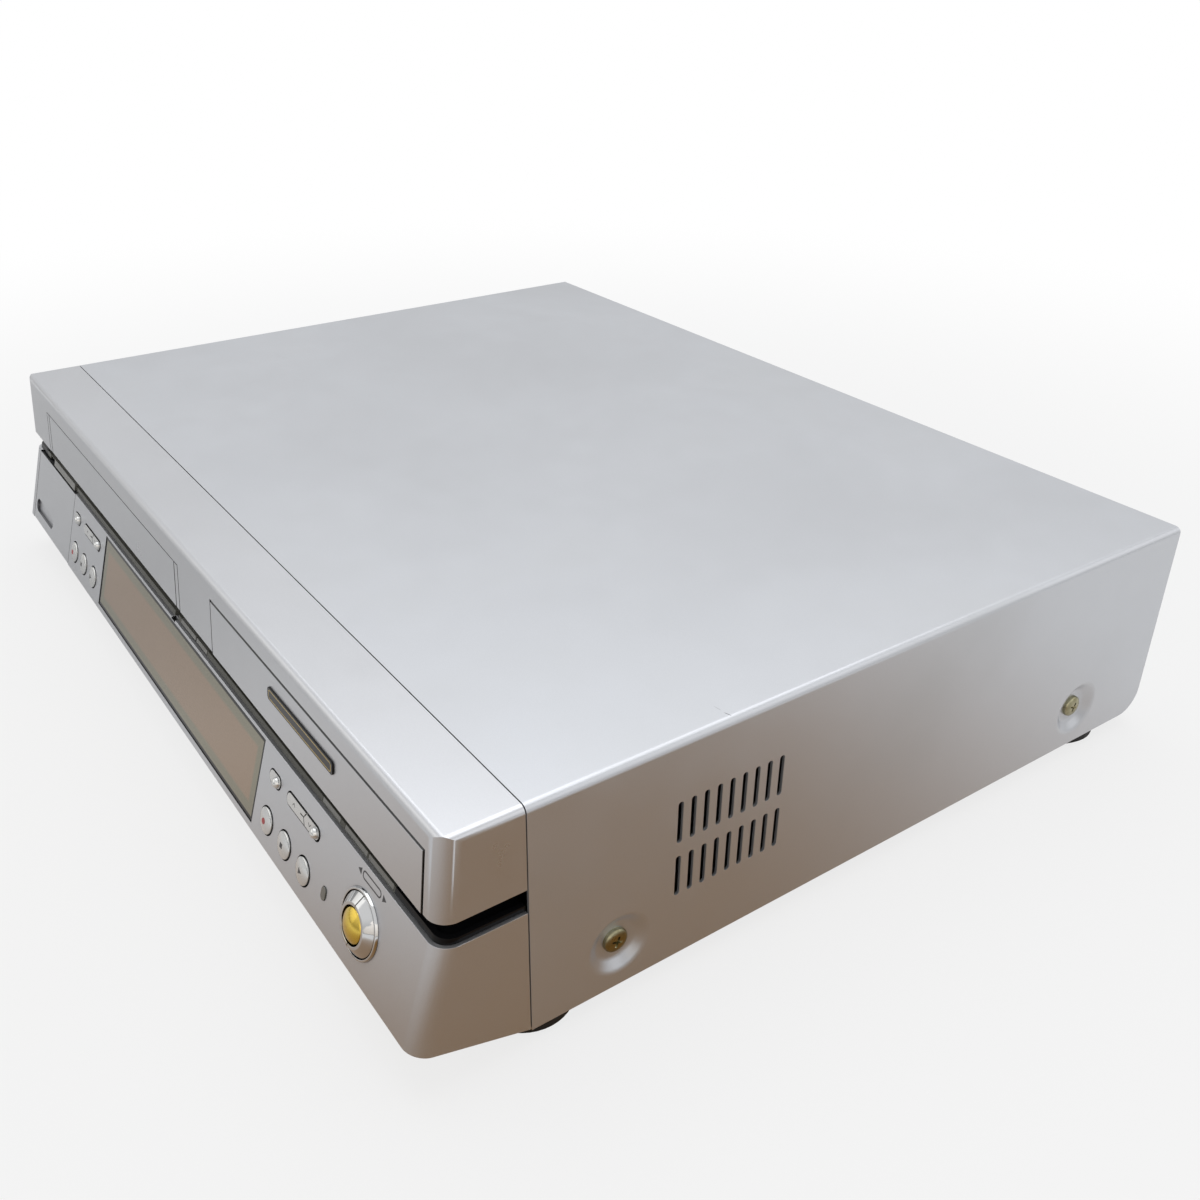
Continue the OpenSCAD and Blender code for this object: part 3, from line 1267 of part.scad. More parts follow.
module reel_table(x) {
    z0 = deck_z[1] + 0.3;
    rod_z(x, reel_y, [z0, z0 + 3], reel_r);
    rod_z(x, reel_y, [z0 + 3, z0 + 6], reel_r * 0.6);
    rod_z(x, reel_y, [z0 + 6, z0 + 14], 3.4);
    for (turn = [0, 120, 240]) translate([x, reel_y, z0 + 6]) rotate([0, 0, turn])
        block([2, 5.6], [-0.8, 0.8], [0, 7]);
    rod_z(x, reel_y, [deck_z[0] - 6, z0 + 1], 2);
}

module supply_reel() color("#e9e7df") reel_table(slot_c - reel_pitch / 2);
module takeup_reel() color("#e9e7df") reel_table(slot_c + reel_pitch / 2);

module deck_side_frame() color("#9b9ea0") {
    for (x = side_x) difference() {
        union() {
            block([x, x + holder_t], [holder_y[0], holder_y[1] + holder_travel + 6],
                [deck_z[1], down(8)]);
            lug = x < slot_c ? -8 : 0;
            for (y = [holder_y[0] + 10, holder_y[1] + holder_travel - 10])
                block([x + lug, x + lug + 8 + holder_t], [y - 5, y + 5],
                    [deck_z[1], deck_z[1] + holder_t]);
        }
        block([x - 1, x + 3], [holder_y[0] + 16 - slot_r, holder_y[0] + 74 + holder_travel + slot_r],
            [down(24) - slot_r, down(24) + slot_r]);
    }
}

module cassette_holder() color("#aaadaf") {
    z0 = down(cassette_floor + 1.2);
    difference() {
        block(holder_x, holder_y, [z0, holder_top]);
        block([holder_x[0] + holder_t, holder_x[1] - holder_t], [holder_y[0] - 1, holder_y[1] - 1],
            [z0 + holder_t, holder_top - holder_t]);
        block([holder_x[0] + 14, holder_x[1] - 14], [holder_y[0] - 1, holder_y[1] + 1],
            [holder_top - 2, holder_top + 1]);
        for (x = [slot_c - reel_pitch / 2, slot_c + reel_pitch / 2])
            translate([x, holder_y[0] + 62, z0 - 1]) linear_extrude(3) rotate(90) pill(60, 32);
    }
    for (side = [0, 1], y = [holder_y[0] + 16, holder_y[0] + 74])
        rod_x(side == 0 ? [holder_x[0] - pin_reach, holder_x[0] + 0.5] : [holder_x[1] - 0.5,
            holder_x[1] + pin_reach], y, down(24), slot_r - 0.2);
}

chassis_pan();
rear_panel();
top_cover();
cover_screws();
feet();
front_upper_panel();
front_gap_strip();
front_lower_panel();
display_window();
display_tube();
operation_board();
dial_bezel();
indicator_lenses();
front_jacks();
main_board();
power_board();
power_transformer();
tuner_box();
jack_block();
av_sockets();
mains_inlet();
fan_frame();
deck_chassis();
deck_side_frame();
lower_drum();
drive_case();
drive_base();
guide_rods();
spindle_motor();
vhs_door();
disc_tray();
tray_front();
badge_plate();
tray_gear();
pulley_gear();
turntable();
laser_sled();
upper_drum();
capstan_flywheel();
supply_reel();
takeup_reel();
cassette_holder();
fan_blades();
input_flap();
power_button();
eject_button();
open_button();
left_small_button();
left_rocker();
left_round_1();
left_round_2();
left_round_3();
right_small_button();
right_rocker();
record_button();
stop_button();
play_button();
dial_left();
dial_right();
dial_center();
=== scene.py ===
import math

import bmesh
import bpy
from mathutils import Matrix, Vector


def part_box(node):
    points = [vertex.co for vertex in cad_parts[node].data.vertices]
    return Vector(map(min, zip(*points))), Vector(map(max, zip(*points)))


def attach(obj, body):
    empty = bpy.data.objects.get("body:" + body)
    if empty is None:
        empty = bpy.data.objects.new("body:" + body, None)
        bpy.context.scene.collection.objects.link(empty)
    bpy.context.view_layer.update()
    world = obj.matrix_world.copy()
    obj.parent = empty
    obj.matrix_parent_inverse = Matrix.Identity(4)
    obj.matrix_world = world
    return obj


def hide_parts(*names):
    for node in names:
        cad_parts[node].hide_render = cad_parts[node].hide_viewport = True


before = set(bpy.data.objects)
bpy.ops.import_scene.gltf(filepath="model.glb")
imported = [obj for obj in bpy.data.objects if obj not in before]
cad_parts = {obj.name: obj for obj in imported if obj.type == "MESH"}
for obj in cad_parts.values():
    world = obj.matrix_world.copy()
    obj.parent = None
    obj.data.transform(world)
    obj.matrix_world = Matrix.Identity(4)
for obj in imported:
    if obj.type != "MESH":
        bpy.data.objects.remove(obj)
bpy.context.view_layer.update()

# ---------------------------------------------------------------- camera
# A view from above the right front corner with the field of a moderate wide-angle lens.
# The long right side of the cover faces it, and the front is seen at a low angle.
lens_right = Vector((0.575688, 0.817606, 0.010177))
lens_up = Vector((-0.406827, 0.275611, 0.870936))
lens_back = Vector((0.709278, -0.505528, 0.491290))
eye_place = Vector((0.430407, -0.264172, 0.293366))
eye = bpy.data.cameras.new("eye")
eye.lens = 36.593
eye.sensor_width = 36.0
eye.clip_start, eye.clip_end = 0.01, 50.0
eye_holder = bpy.data.objects.new("eye", eye)
bpy.context.scene.collection.objects.link(eye_holder)
eye_turn = Matrix((lens_right, lens_up, lens_back)).transposed().to_4x4()
eye_holder.matrix_world = Matrix.Translation(eye_place) @ eye_turn
bpy.context.scene.camera = eye_holder

# ---------------------------------------------------------------- studio
# A plain pale floor and an even white surround, lit by four large soft lamps.
# The floor and surround look white, and the floor still takes the object's shadow.
bpy.context.scene.view_settings.view_transform = "Standard"


def mesh_piece(name, verts, faces):
    """A new mesh object in millimetres, stored in metres."""
    data = bpy.data.meshes.new(name)
    data.from_pydata([(x / 1000, y / 1000, z / 1000) for x, y, z in verts], [], faces)
    data.validate()
    made = bpy.data.objects.new(name, data)
    bpy.context.scene.collection.objects.link(made)
    return made


def blank_material(name):
    """A material with its node tree and its Principled shader."""
    mat = bpy.data.materials.new(name)
    mat.use_nodes = True
    return mat, mat.node_tree, mat.node_tree.nodes["Principled BSDF"]


def feed(socket, value):
    """Gives a node's input a value, or links another node's output to it."""
    if isinstance(value, bpy.types.NodeSocket):
        socket.id_data.links.new(value, socket)
    else:
        socket.default_value = value


def add_node(tree, kind, inputs=(), **settings):
    """A new node in a tree, with its inputs given by name or by number."""
    made = tree.nodes.new(kind)
    for label, value in settings.items():
        setattr(made, label, value)
    for label, value in dict(inputs).items():
        feed(made.inputs[label], value)
    return made


def own_place(tree):
    """The place on the piece itself, for patterns that stay with it."""
    return add_node(tree, "ShaderNodeTexCoord").outputs["Object"]


def noise(tree, place, scale, detail):
    """An even cloudy pattern between 0 and 1."""
    inputs = {"Vector": place, "Scale": scale, "Detail": detail}
    return add_node(tree, "ShaderNodeTexNoise", inputs).outputs["Fac"]


def worked_out(tree, operation, *values):
    """A Math node's result from numbers or other nodes' outputs."""
    return add_node(tree, "ShaderNodeMath", enumerate(values), operation=operation).outputs[0]


def ranged(tree, value, start=0, end=1, low=0, high=1, smooth=False):
    """Turns start to end into low to high, and stays level past both."""
    inputs = {"Value": value, "From Min": start, "From Max": end, "To Min": low, "To Max": high}
    made = add_node(tree, "ShaderNodeMapRange", inputs,
                    interpolation_type="SMOOTHSTEP" if smooth else "LINEAR")
    return made.outputs["Result"]


def reach_from(tree, place, middle):
    """How far a place is from a point, in metres."""
    made = add_node(tree, "ShaderNodeVectorMath", {0: place, 1: middle}, operation="DISTANCE")
    return made.outputs["Value"]


def mixed(tree, share, first, second, blend="MIX"):
    """Goes from a first colour to a second by a share; each may be another node's output."""
    made = add_node(tree, "ShaderNodeMix", data_type="RGBA", blend_type=blend)
    for label, value in (("Factor", share), ("A", first), ("B", second)):
        feed(made.inputs[label], (*value, 1) if isinstance(value, tuple) else value)
    return made.outputs["Result"]


floor = mesh_piece("studio_floor", [(-6000, -6000, 0), (6000, -6000, 0), (6000, 6000, 0),
                                    (-6000, 6000, 0)], [(0, 1, 2, 3)])
floor_mat, tree, shader = blank_material("pale_floor")
shader.inputs["Specular IOR Level"].default_value = 0.1
where = own_place(tree)
feed(shader.inputs["Roughness"], ranged(tree, noise(tree, where, 60, 2), low=0.88, high=0.93))
path = add_node(tree, "ShaderNodeLightPath")
plain_white = add_node(tree, "ShaderNodeEmission")

# Off the front right corner the floor turns warm brown to glossy rays alone: a painted reflection
# of wood, seen in the polished sides.
painted_reflection_near = ranged(tree, reach_from(tree, where, (0.29, -0.11, 0)), 0.35, 0.07, smooth=True)
painted_reflection_share = worked_out(tree, "MULTIPLY", painted_reflection_near, path.outputs["Is Glossy Ray"])
for grey, reflected_brown, goes_to in ((0.72, (0.30, 0.15, 0.04), shader.inputs["Base Color"]),
                            (1.0, (0.28, 0.145, 0.04), plain_white.inputs["Color"])):
    feed(goes_to, mixed(tree, painted_reflection_share, (grey, grey, grey), reflected_brown))

# To the camera the floor is mostly plain white and further off wholly so, and the rest is the
# lit floor, which keeps the shadow. Polished and clear parts see the lit floor close by.
white_share = 0
for rays, middle, start, end, least in (("Camera", (0, 0, 0), 0.25, 0.9, 0.78),
                                        ("Glossy", (-0.32, -0.24, 0), 0.12, 0.55, 0.1),
                                        ("Transmission", (0, 0, 0), 0.14, 0.75, 0)):
    share = ranged(tree, reach_from(tree, where, middle), start, end, least, smooth=True)
    share = worked_out(tree, "MULTIPLY", share, path.outputs[f"Is {rays} Ray"])
    white_share = worked_out(tree, "MAXIMUM", white_share, share)
both_kinds = add_node(tree, "ShaderNodeMixShader", {0: white_share, 1: shader.outputs["BSDF"],
                                                    2: plain_white.outputs["Emission"]})
feed(tree.nodes["Material Output"].inputs["Surface"], both_kinds.outputs["Shader"])
floor.data.materials.append(floor_mat)

# The surround is plain white behind the object. What lights it and what shows in polished parts
# is brightest overhead, so that rounded edges and chrome show their form.
world = bpy.data.worlds.new("surround")
bpy.context.scene.world = world
world.use_nodes = True
tree = world.node_tree
path = add_node(tree, "ShaderNodeLightPath")
sky = add_node(tree, "ShaderNodeTexCoord")
sky_axes = add_node(tree, "ShaderNodeSeparateXYZ", {"Vector": sky.outputs["Generated"]})
sky_fade = ranged(tree, sky_axes.outputs["Z"], -0.05, 0.6, low=0.36, smooth=True)
background = tree.nodes["Background"]
feed(background.inputs["Color"], mixed(tree, path.outputs["Is Camera Ray"], sky_fade, (1, 1, 1)))
feed(background.inputs["Strength"], ranged(tree, path.outputs["Is Diffuse Ray"], low=1, high=0.30))


def soft_lamp(name, place, aim, size, watts, colour=(1, 1, 1)):
    """A large soft lamp that points at a place and doesn't show to the camera."""
    data = bpy.data.lights.new(name, "AREA")
    data.shape = "RECTANGLE"
    data.size, data.size_y = size
    data.energy = watts
    data.color = colour
    lamp = bpy.data.objects.new(name, data)
    bpy.context.scene.collection.objects.link(lamp)
    lamp.location = place
    lamp.rotation_mode = "QUATERNION"
    lamp.rotation_quaternion = (Vector(aim) - Vector(place)).to_track_quat("-Z", "Y")
    lamp.visible_camera = False


soft_lamp("over_lamp", (-0.6, 0.45, 2.4), (0, 0, 0), (2.8, 2.6), 33, (0.97, 0.985, 1.0))
soft_lamp("front_lamp", (-1.2, -1.5, 0.8), (-0.1, -0.15, 0.04), (1.9, 1.2), 4.2, (1.0, 0.97, 0.9))
soft_lamp("side_lamp", (1.3, -1.0, 0.5), (0.2, -0.12, 0.04), (1.9, 0.9), 3.2, (1.0, 0.88, 0.74))
soft_lamp("rear_lamp", (1.4, 1.3, 0.9), (0.2, 0.15, 0.04), (2.4, 1.5), 5.5)

# ---------------------------------------------------------------- steel cover
# A U of 1 mm steel, folded over the top and both sides and sprayed in silver metallic paint.
# The sides have two rows of punched vents and four pressed dimples for the fixing screws.


def new_group(name, inputs, outputs):
    """A shader node group of plain numbers: the tree, its own inputs and its own outputs."""
    group = bpy.data.node_groups.new(name, "ShaderNodeTree")
    kind = "NodeSocketFloat"
    for label, value in inputs:
        socket = group.interface.new_socket(name=label, in_out="INPUT", socket_type=kind)
        socket.default_value = value
    for label in outputs:
        group.interface.new_socket(name=label, in_out="OUTPUT", socket_type=kind)
    given, gives = group.nodes.new("NodeGroupInput"), group.nodes.new("NodeGroupOutput")
    return group, given.outputs, gives.inputs


# Paint grain: a fine metallic flake for the colour and a slow orange peel for the bump
grain, given, gives = new_group(
    "paint_grain", [("Flake Scale", 2500), ("Flake", 0.04), ("Peel Scale", 500)],
    ["Tint", "Height"])
where = own_place(grain)
least_tint = worked_out(grain, "MULTIPLY_ADD", given["Flake"], -0.5, 1)
flakes = noise(grain, where, given["Flake Scale"], 1)
feed(gives["Tint"], worked_out(grain, "MULTIPLY_ADD", flakes, given["Flake"], least_tint))
feed(gives["Height"], noise(grain, where, given["Peel Scale"], 2))

# Handling: broad soft patches and a few fine rub lines that change the gloss
handling, given, gives = new_group(
    "handling", [("Patch Scale", 12), ("Low", 0.3), ("High", 0.4)], ["Rough", "Patch"])
where = own_place(handling)
broad = noise(handling, where, given["Patch Scale"], 4)
fine = noise(handling, where, worked_out(handling, "MULTIPLY", given["Patch Scale"], 9), 3)
both = worked_out(handling, "MULTIPLY_ADD", fine, 0.35, broad)
feed(gives["Rough"], ranged(handling, both, 0.45, 0.9, given["Low"], given["High"]))
feed(gives["Patch"], broad)

# Seams: painted shade, darker where another face stands close to it and where the mesh's lit mark
# says so
seams, given, gives = new_group("seam_shade", [("Reach", 0.002), ("Least", 0.3)], ["Shade"])
hollow = add_node(seams, "ShaderNodeAmbientOcclusion", {"Distance": given["Reach"]}, samples=6)
opening = ranged(seams, hollow.outputs["AO"], 0.15, 0.85, given["Least"])
marked = add_node(seams, "ShaderNodeAttribute", attribute_name="lit")
feed(gives["Shade"], worked_out(seams, "MULTIPLY", opening, marked.outputs["Fac"]))


def place_group(tree, group, **values):
    """Puts a node group into a material with its own values, and gives its outputs."""
    inputs = {label.replace("_", " "): value for label, value in values.items()}
    return add_node(tree, "ShaderNodeGroup", inputs, node_tree=group).outputs


def handled(tree, patch, rough):
    """Lets the gloss change with handling, and gives the patches in which it does."""
    touch = place_group(tree, handling, Patch_Scale=patch, Low=rough[0], High=rough[1])
    feed(tree.nodes["Principled BSDF"].inputs["Roughness"], touch["Rough"])
    return touch["Patch"]


def bump(tree, height, strength):
    """Raises the surface by up to 0.1 mm, for its look alone."""
    inputs = {"Height": height, "Strength": strength, "Distance": 0.0001}
    made = add_node(tree, "ShaderNodeBump", inputs)
    feed(tree.nodes["Principled BSDF"].inputs["Normal"], made.outputs["Normal"])


def tinted(tree, colour, tint, second=None, mask=None):
    """Base colour times a tint, moving towards a second colour where the mask says."""
    result = mixed(tree, 1, colour, tint, "MULTIPLY")
    if second:
        result = mixed(tree, mask, result, second)
    feed(tree.nodes["Principled BSDF"].inputs["Base Color"], result)


def coated(name, colour, rough, metal=0.0, flake=(2500, 0.04), peel=(500, 0.15), patch=12,
           coat=0.0, specular=0.5, worn=None, seam=None):
    """A paint or plastic: flake tint, orange peel, gloss that changes with handling, and painted
    shade in seams.

    Worn is a second colour, the two patch values between which it comes in, and its share.
    """
    mat, tree, shader = blank_material(name)
    skin = place_group(tree, grain, Flake_Scale=flake[0], Flake=flake[1], Peel_Scale=peel[0])
    tint = skin["Tint"]
    if seam:
        # Painted shade: the tint darkens in seams and where other faces stand close
        painted_seam_shade = place_group(tree, seams, Reach=seam[0], Least=seam[1])
        tint = worked_out(tree, "MULTIPLY", tint, painted_seam_shade["Shade"])
    patches = handled(tree, patch, rough)
    if worn:
        second, start, end, share = worn
        tinted(tree, colour, tint, second, ranged(tree, patches, start, end, high=share))
    else:
        tinted(tree, colour, tint)
    shader.inputs["Metallic"].default_value = metal
    shader.inputs["Specular IOR Level"].default_value = specular
    if coat:
        shader.inputs["Coat Weight"].default_value = coat
        shader.inputs["Coat Roughness"].default_value = 0.08
    bump(tree, skin["Height"], peel[1])
    return mat


def bake(made):
    """Turns a piece with modifiers into a plain mesh."""
    bpy.context.view_layer.update()
    graph = bpy.context.evaluated_depsgraph_get()
    data = bpy.data.meshes.new_from_object(made.evaluated_get(graph))
    made.modifiers.clear()
    made.data = data
    data.name = made.name


def smooth_up_to(data, degrees):
    """Shades a mesh smooth, with the edges that turn by more than an angle left sharp."""
    for face in data.polygons:
        face.use_smooth = True
    data.set_sharp_from_angle(angle=math.radians(degrees))


def softened(name, node, width, mat, body="cabinet", beside=(), dark=0.1):
    """A copy of a CAD node with its sharp edges rounded; it stands for that node.

    Its faces along the seams round the nodes beside it get painted shade, darkened by the dark
    factor.
    """
    made = bpy.data.objects.new(name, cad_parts[node].data.copy())
    bpy.context.scene.collection.objects.link(made)
    bm = bmesh.new()
    bm.from_mesh(made.data)
    bmesh.ops.remove_doubles(bm, verts=bm.verts, dist=2e-6)
    bmesh.ops.dissolve_limit(bm, angle_limit=math.radians(0.4), verts=bm.verts, edges=bm.edges)
    bmesh.ops.recalc_face_normals(bm, faces=bm.faces)
    bm.to_mesh(made.data)
    bm.free()
    edge = made.modifiers.new("edge", "BEVEL")
    edge.width = width / 1000
    edge.segments = 2
    edge.limit_method = "ANGLE"
    edge.angle_limit = math.radians(32)
    edge.use_clamp_overlap = True
    bake(made)
    smooth_up_to(made.data, 26)
    flat = made.modifiers.new("flat", "WEIGHTED_NORMAL")
    flat.keep_sharp = True
    flat.weight = 90
    bake(made)
    # Painted shade: faces in the seams round the nodes beside it are marked darker in the lit
    # attribute
    near, front_normal_y = 0.0012, -0.93
    boxes = [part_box(other) for other in beside]
    lit = made.data.attributes.new("lit", "FLOAT", "FACE")
    for i, face in enumerate(made.data.polygons):
        in_seam = face.normal.y > front_normal_y and any(
            all(low[k] - near < face.center[k] < high[k] + near for k in range(3))
            for low, high in boxes)
        lit.data[i].value = dark if in_seam else 1
    made.data.materials.clear()
    made.data.materials.append(mat)
    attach(made, body)
    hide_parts(node)


cover_paint = coated("cover_silver_paint", (0.545, 0.56, 0.59), (0.30, 0.42), metal=0.72,
                     flake=(3200, 0.10), peel=(700, 0.12), patch=9,
                     worn=((0.49, 0.50, 0.515), 0.55, 0.80, 0.6))
tree = cover_paint.node_tree
where = own_place(tree)
top_z = 89.0
for start, end, wide, depth in (((210.6, -62.5), (213.4, -61.6), 0.32, 0.85),
                                ((206.3, -62.8), (209.8, -62.4), 0.25, 0.35)):
    # A thin scratch in the paint, beside the right edge
    along = add_node(tree, "ShaderNodeMapping", {
        "Vector": where,
        "Location": ((start[0] + end[0]) / 2000, (start[1] + end[1]) / 2000, top_z / 1000),
        "Rotation": (0, 0, math.atan2(end[1] - start[1], end[0] - start[0])),
        "Scale": (math.dist(start, end) / 2000, wide / 2000, 0.002)}, vector_type="TEXTURE")
    off = add_node(tree, "ShaderNodeVectorMath", {0: along.outputs["Vector"]}, operation="LENGTH")
    cut = ranged(tree, off.outputs["Value"], 0.7, 1, depth, 0)
    base = tree.nodes["Principled BSDF"].inputs["Base Color"]
    feed(base, mixed(tree, cut, base.links[0].from_socket, (0.05, 0.05, 0.055)))
softened("cover", "top_cover", 0.25, cover_paint)

# ---------------------------------------------------------------- cover screws
# Seven pan-head screws with a crossed recess, zinc plated and passivated to a pale yellow-green.
# Two sit in the dimples of each side, and three run through the rear lip of the cover.


def tidy_mesh(data, smooth_deg):
    """Merges doubles, drops flat faces with no area and points every face outwards."""
    bm = bmesh.new()
    bm.from_mesh(data)
    bmesh.ops.remove_doubles(bm, verts=bm.verts, dist=1e-6)
    bmesh.ops.dissolve_degenerate(bm, edges=bm.edges, dist=1e-7)
    bmesh.ops.recalc_face_normals(bm, faces=bm.faces)
    bm.to_mesh(data)
    bm.free()
    smooth_up_to(data, smooth_deg)


def turned(name, profile, steps):
    """A closed body of revolution about Z from (radius, height) points in millimetres."""
    verts, faces = [], []
    count = len(profile)
    for i in range(steps):
        a = 2 * math.pi * i / steps
        verts += [(r * math.cos(a), r * math.sin(a), z) for r, z in profile]
    for i in range(steps):
        j = (i + 1) % steps
        for k in range(count - 1):
            faces.append((i * count + k, j * count + k, j * count + k + 1, i * count + k + 1))
    made = mesh_piece(name, verts, faces)
    tidy_mesh(made.data, 35)
    return made


def join_meshes(name, parts):
    """Joins objects into one mesh with their places applied, and removes them."""
    bm = bmesh.new()
    for part in parts:
        copy = part.data.copy()
        copy.transform(part.matrix_world)
        bm.from_mesh(copy)
        bpy.data.meshes.remove(copy)
    data = bpy.data.meshes.new(name)
    bm.to_mesh(data)
    bm.free()
    for part in parts:
        bpy.data.objects.remove(part)
    made = bpy.data.objects.new(name, data)
    bpy.context.scene.collection.objects.link(made)
    return made


# Geometry Nodes tree: copies of one piece on a grid of rows and steps
grid_of = bpy.data.node_groups.new("even_grid", "GeometryNodeTree")
for label, kind in (("Geometry", "Geometry"), ("Count", "Int"), ("Start", "Vector"),
                    ("Step", "Vector"), ("Rows", "Int"), ("Row Step", "Vector"),
                    ("Turn", "Vector"), ("Piece", "Object"), ("Finish", "Material")):
    grid_of.interface.new_socket(name=label, in_out="INPUT", socket_type="NodeSocket" + kind)
grid_of.interface.new_socket(name="Geometry", in_out="OUTPUT", socket_type="NodeSocketGeometry")
given = grid_of.nodes.new("NodeGroupInput").outputs
row = add_node(grid_of, "GeometryNodeMeshLine", {"Count": given["Count"], "Offset": given["Step"]})
rows = add_node(grid_of, "GeometryNodeMeshLine", {
    "Count": given["Rows"], "Start Location": given["Start"], "Offset": given["Row Step"]})
across = add_node(grid_of, "GeometryNodeInstanceOnPoints", {
    "Points": rows.outputs["Mesh"], "Instance": row.outputs["Mesh"]})
points = add_node(grid_of, "GeometryNodeRealizeInstances", {
    "Geometry": across.outputs["Instances"]})
piece = add_node(grid_of, "GeometryNodeObjectInfo", {"Object": given["Piece"]})
turn = add_node(grid_of, "FunctionNodeEulerToRotation", {"Euler": given["Turn"]})
put = add_node(grid_of, "GeometryNodeInstanceOnPoints", {
    "Points": points.outputs["Geometry"], "Instance": piece.outputs["Geometry"],
    "Rotation": turn.outputs["Rotation"]})
real = add_node(grid_of, "GeometryNodeRealizeInstances", {"Geometry": put.outputs["Instances"]})
paint = add_node(grid_of, "GeometryNodeSetMaterial", {
    "Geometry": real.outputs["Geometry"], "Material": given["Finish"]})
add_node(grid_of, "NodeGroupOutput", {"Geometry": paint.outputs["Geometry"]})


def repeat(name, piece, finish, start, step=(0, 0, 0), count=1, rows=1, row_step=(0, 0, 0),
           turn=(0, 0, 0)):
    """Copies of a piece on a grid, in millimetres and degrees, baked to one plain mesh."""
    made = mesh_piece(name, [], [])
    mod = made.modifiers.new("grid", "NODES")
    mod.node_group = grid_of
    values = {"Count": count, "Start": [v / 1000 for v in start],
              "Step": [v / 1000 for v in step], "Rows": rows,
              "Row Step": [v / 1000 for v in row_step],
              "Turn": [math.radians(v) for v in turn], "Piece": piece, "Finish": finish}
    for item in grid_of.interface.items_tree:
        if item.in_out == "INPUT" and item.name in values:
            mod[item.identifier] = values[item.name]
    bake(made)
    smooth_up_to(made.data, 35)
    return made


def discard(*pieces):
    """Removes the single pieces from which copies were made."""
    for piece in pieces:
        bpy.data.objects.remove(piece)


screw_zinc = coated("yellow_zinc", (0.34, 0.32, 0.21), (0.22, 0.42), metal=1.0,
                    flake=(900, 0.25), peel=(1500, 0.2), patch=300,
                    worn=((0.20, 0.18, 0.10), 0.5, 0.7, 0.7))
head = turned("screw_head", [(0, -5), (1.45, -5), (1.45, -0.01), (4.3, -0.01), (4.3, 0.9),
                             (4.12, 1.3), (3.6, 1.68), (2.7, 1.93), (1.5, 2.0), (0, 2.0)], 40)
slot_verts, slot_faces = [], []
for slot_turn in (0, 90):
    base = len(slot_verts)
    c, s = math.cos(math.radians(slot_turn)), math.sin(math.radians(slot_turn))
    for half_long, half_wide, z in ((2.3, 0.42, 2.3), (0.5, 0.3, 0.3)):
        for to_x, to_y in ((-1, -1), (1, -1), (1, 1), (-1, 1)):
            x, y = to_x * half_long, to_y * half_wide
            slot_verts.append((x * c - y * s, x * s + y * c, z))
    slot_faces += [tuple(base + i for i in f) for f in ((0, 1, 2, 3), (7, 6, 5, 4), (4, 5, 1, 0),
                                                       (5, 6, 2, 1), (6, 7, 3, 2), (7, 4, 0, 3))]
recess = mesh_piece("screw_recess", slot_verts, slot_faces)
cut = head.modifiers.new("recess", "BOOLEAN")
cut.operation = "DIFFERENCE"
cut.object = recess
cut.use_self = True
bake(head)

# The top front edge of the cabinet, its rear panel, and the places of the screws
front_y, rear_y = -158.8281, 164.1719
side_x, side_y, side_z, side_step = 212.0, front_y + 57, 22, 222
lip_x, lip_z = 150, 82.5
rows_of_screws = [
    repeat("screws_a", head, screw_zinc, (side_x, side_y, side_z), (0, side_step, 0), 2,
           turn=(90, 20, 90)),
    repeat("screws_b", head, screw_zinc, (-side_x, side_y, side_z), (0, side_step, 0), 2,
           turn=(90, 31, -90)),
    repeat("screws_c", head, screw_zinc, (-lip_x, rear_y, lip_z), (lip_x, 0, 0), 3,
           turn=(-90, 17, 0))]
discard(recess, head)
screws = join_meshes("cover_screw_set", rows_of_screws)
screws.data.materials.clear()
screws.data.materials.append(screw_zinc)
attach(screws, "cabinet")
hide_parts("cover_screws")

# ---------------------------------------------------------------- upper silver band
# A moulding in silver painted plastic: the strip along the top and the band below it.
# Its edges are broken by a small radius, as a moulding's are.
# Its seam values give painted shade in the seams and close to other faces
front_paint = coated("front_silver_paint", (0.55, 0.56, 0.585), (0.26, 0.36), metal=0.76,
                     flake=(3600, 0.09), peel=(900, 0.05), patch=10, seam=(0.0022, 0.12))
softened("upper_band", "front_upper_panel", 0.3, front_paint, beside=("vhs_door", "tray_front"))

# ---------------------------------------------------------------- black gap
# A polished black strip set back between the two silver mouldings. Along its foot stands a low
# dark grey bar that leans like the lower panel, broken by three keys and three small windows.


def banded(name, low_colour, high_colour, change, ends, **finish):
    """A gloss with a second colour below a height and between two ends, in metres."""
    mat = coated(name, high_colour, **finish)
    tree = mat.node_tree
    axes = add_node(tree, "ShaderNodeSeparateXYZ", {"Vector": own_place(tree)}).outputs
    soft = 0.0001
    inside = 1
    for axis, start, end in (("Z", change + soft, change), ("X", ends[0], ends[0] + soft),
                             ("X", ends[1], ends[1] - soft)):
        inside = worked_out(tree, "MULTIPLY", inside, ranged(tree, axes[axis], start, end))
    base = tree.nodes["Principled BSDF"].inputs["Base Color"]
    feed(base, mixed(tree, inside, base.links[0].from_socket, low_colour))
    return mat


gap_gloss = banded("gap_black_gloss", (0.11, 0.11, 0.095), (0.006, 0.006, 0.007),
                   change=0.0540, ends=(-0.196, 0.187), rough=(0.10, 0.2), flake=(800, 0.2),
                   peel=(300, 0.03), patch=30, specular=0.12)
softened("gap_strip", "front_gap_strip", 0.12, gap_gloss)
key_gloss = coated("key_dark_grey", (0.20, 0.20, 0.185), (0.12, 0.24), flake=(1500, 0.1),
                   peel=(500, 0.05), patch=60)
for key in ("power", "eject", "open"):
    softened(key + "_key", key + "_button", 0.2, key_gloss, key + "_button_body")
lens_grey = coated("lens_smoke", (0.10, 0.10, 0.085), (0.06, 0.14), flake=(700, 0.3),
                   peel=(400, 0.05), patch=120, coat=0.6)
softened("lenses", "indicator_lenses", 0.1, lens_grey)

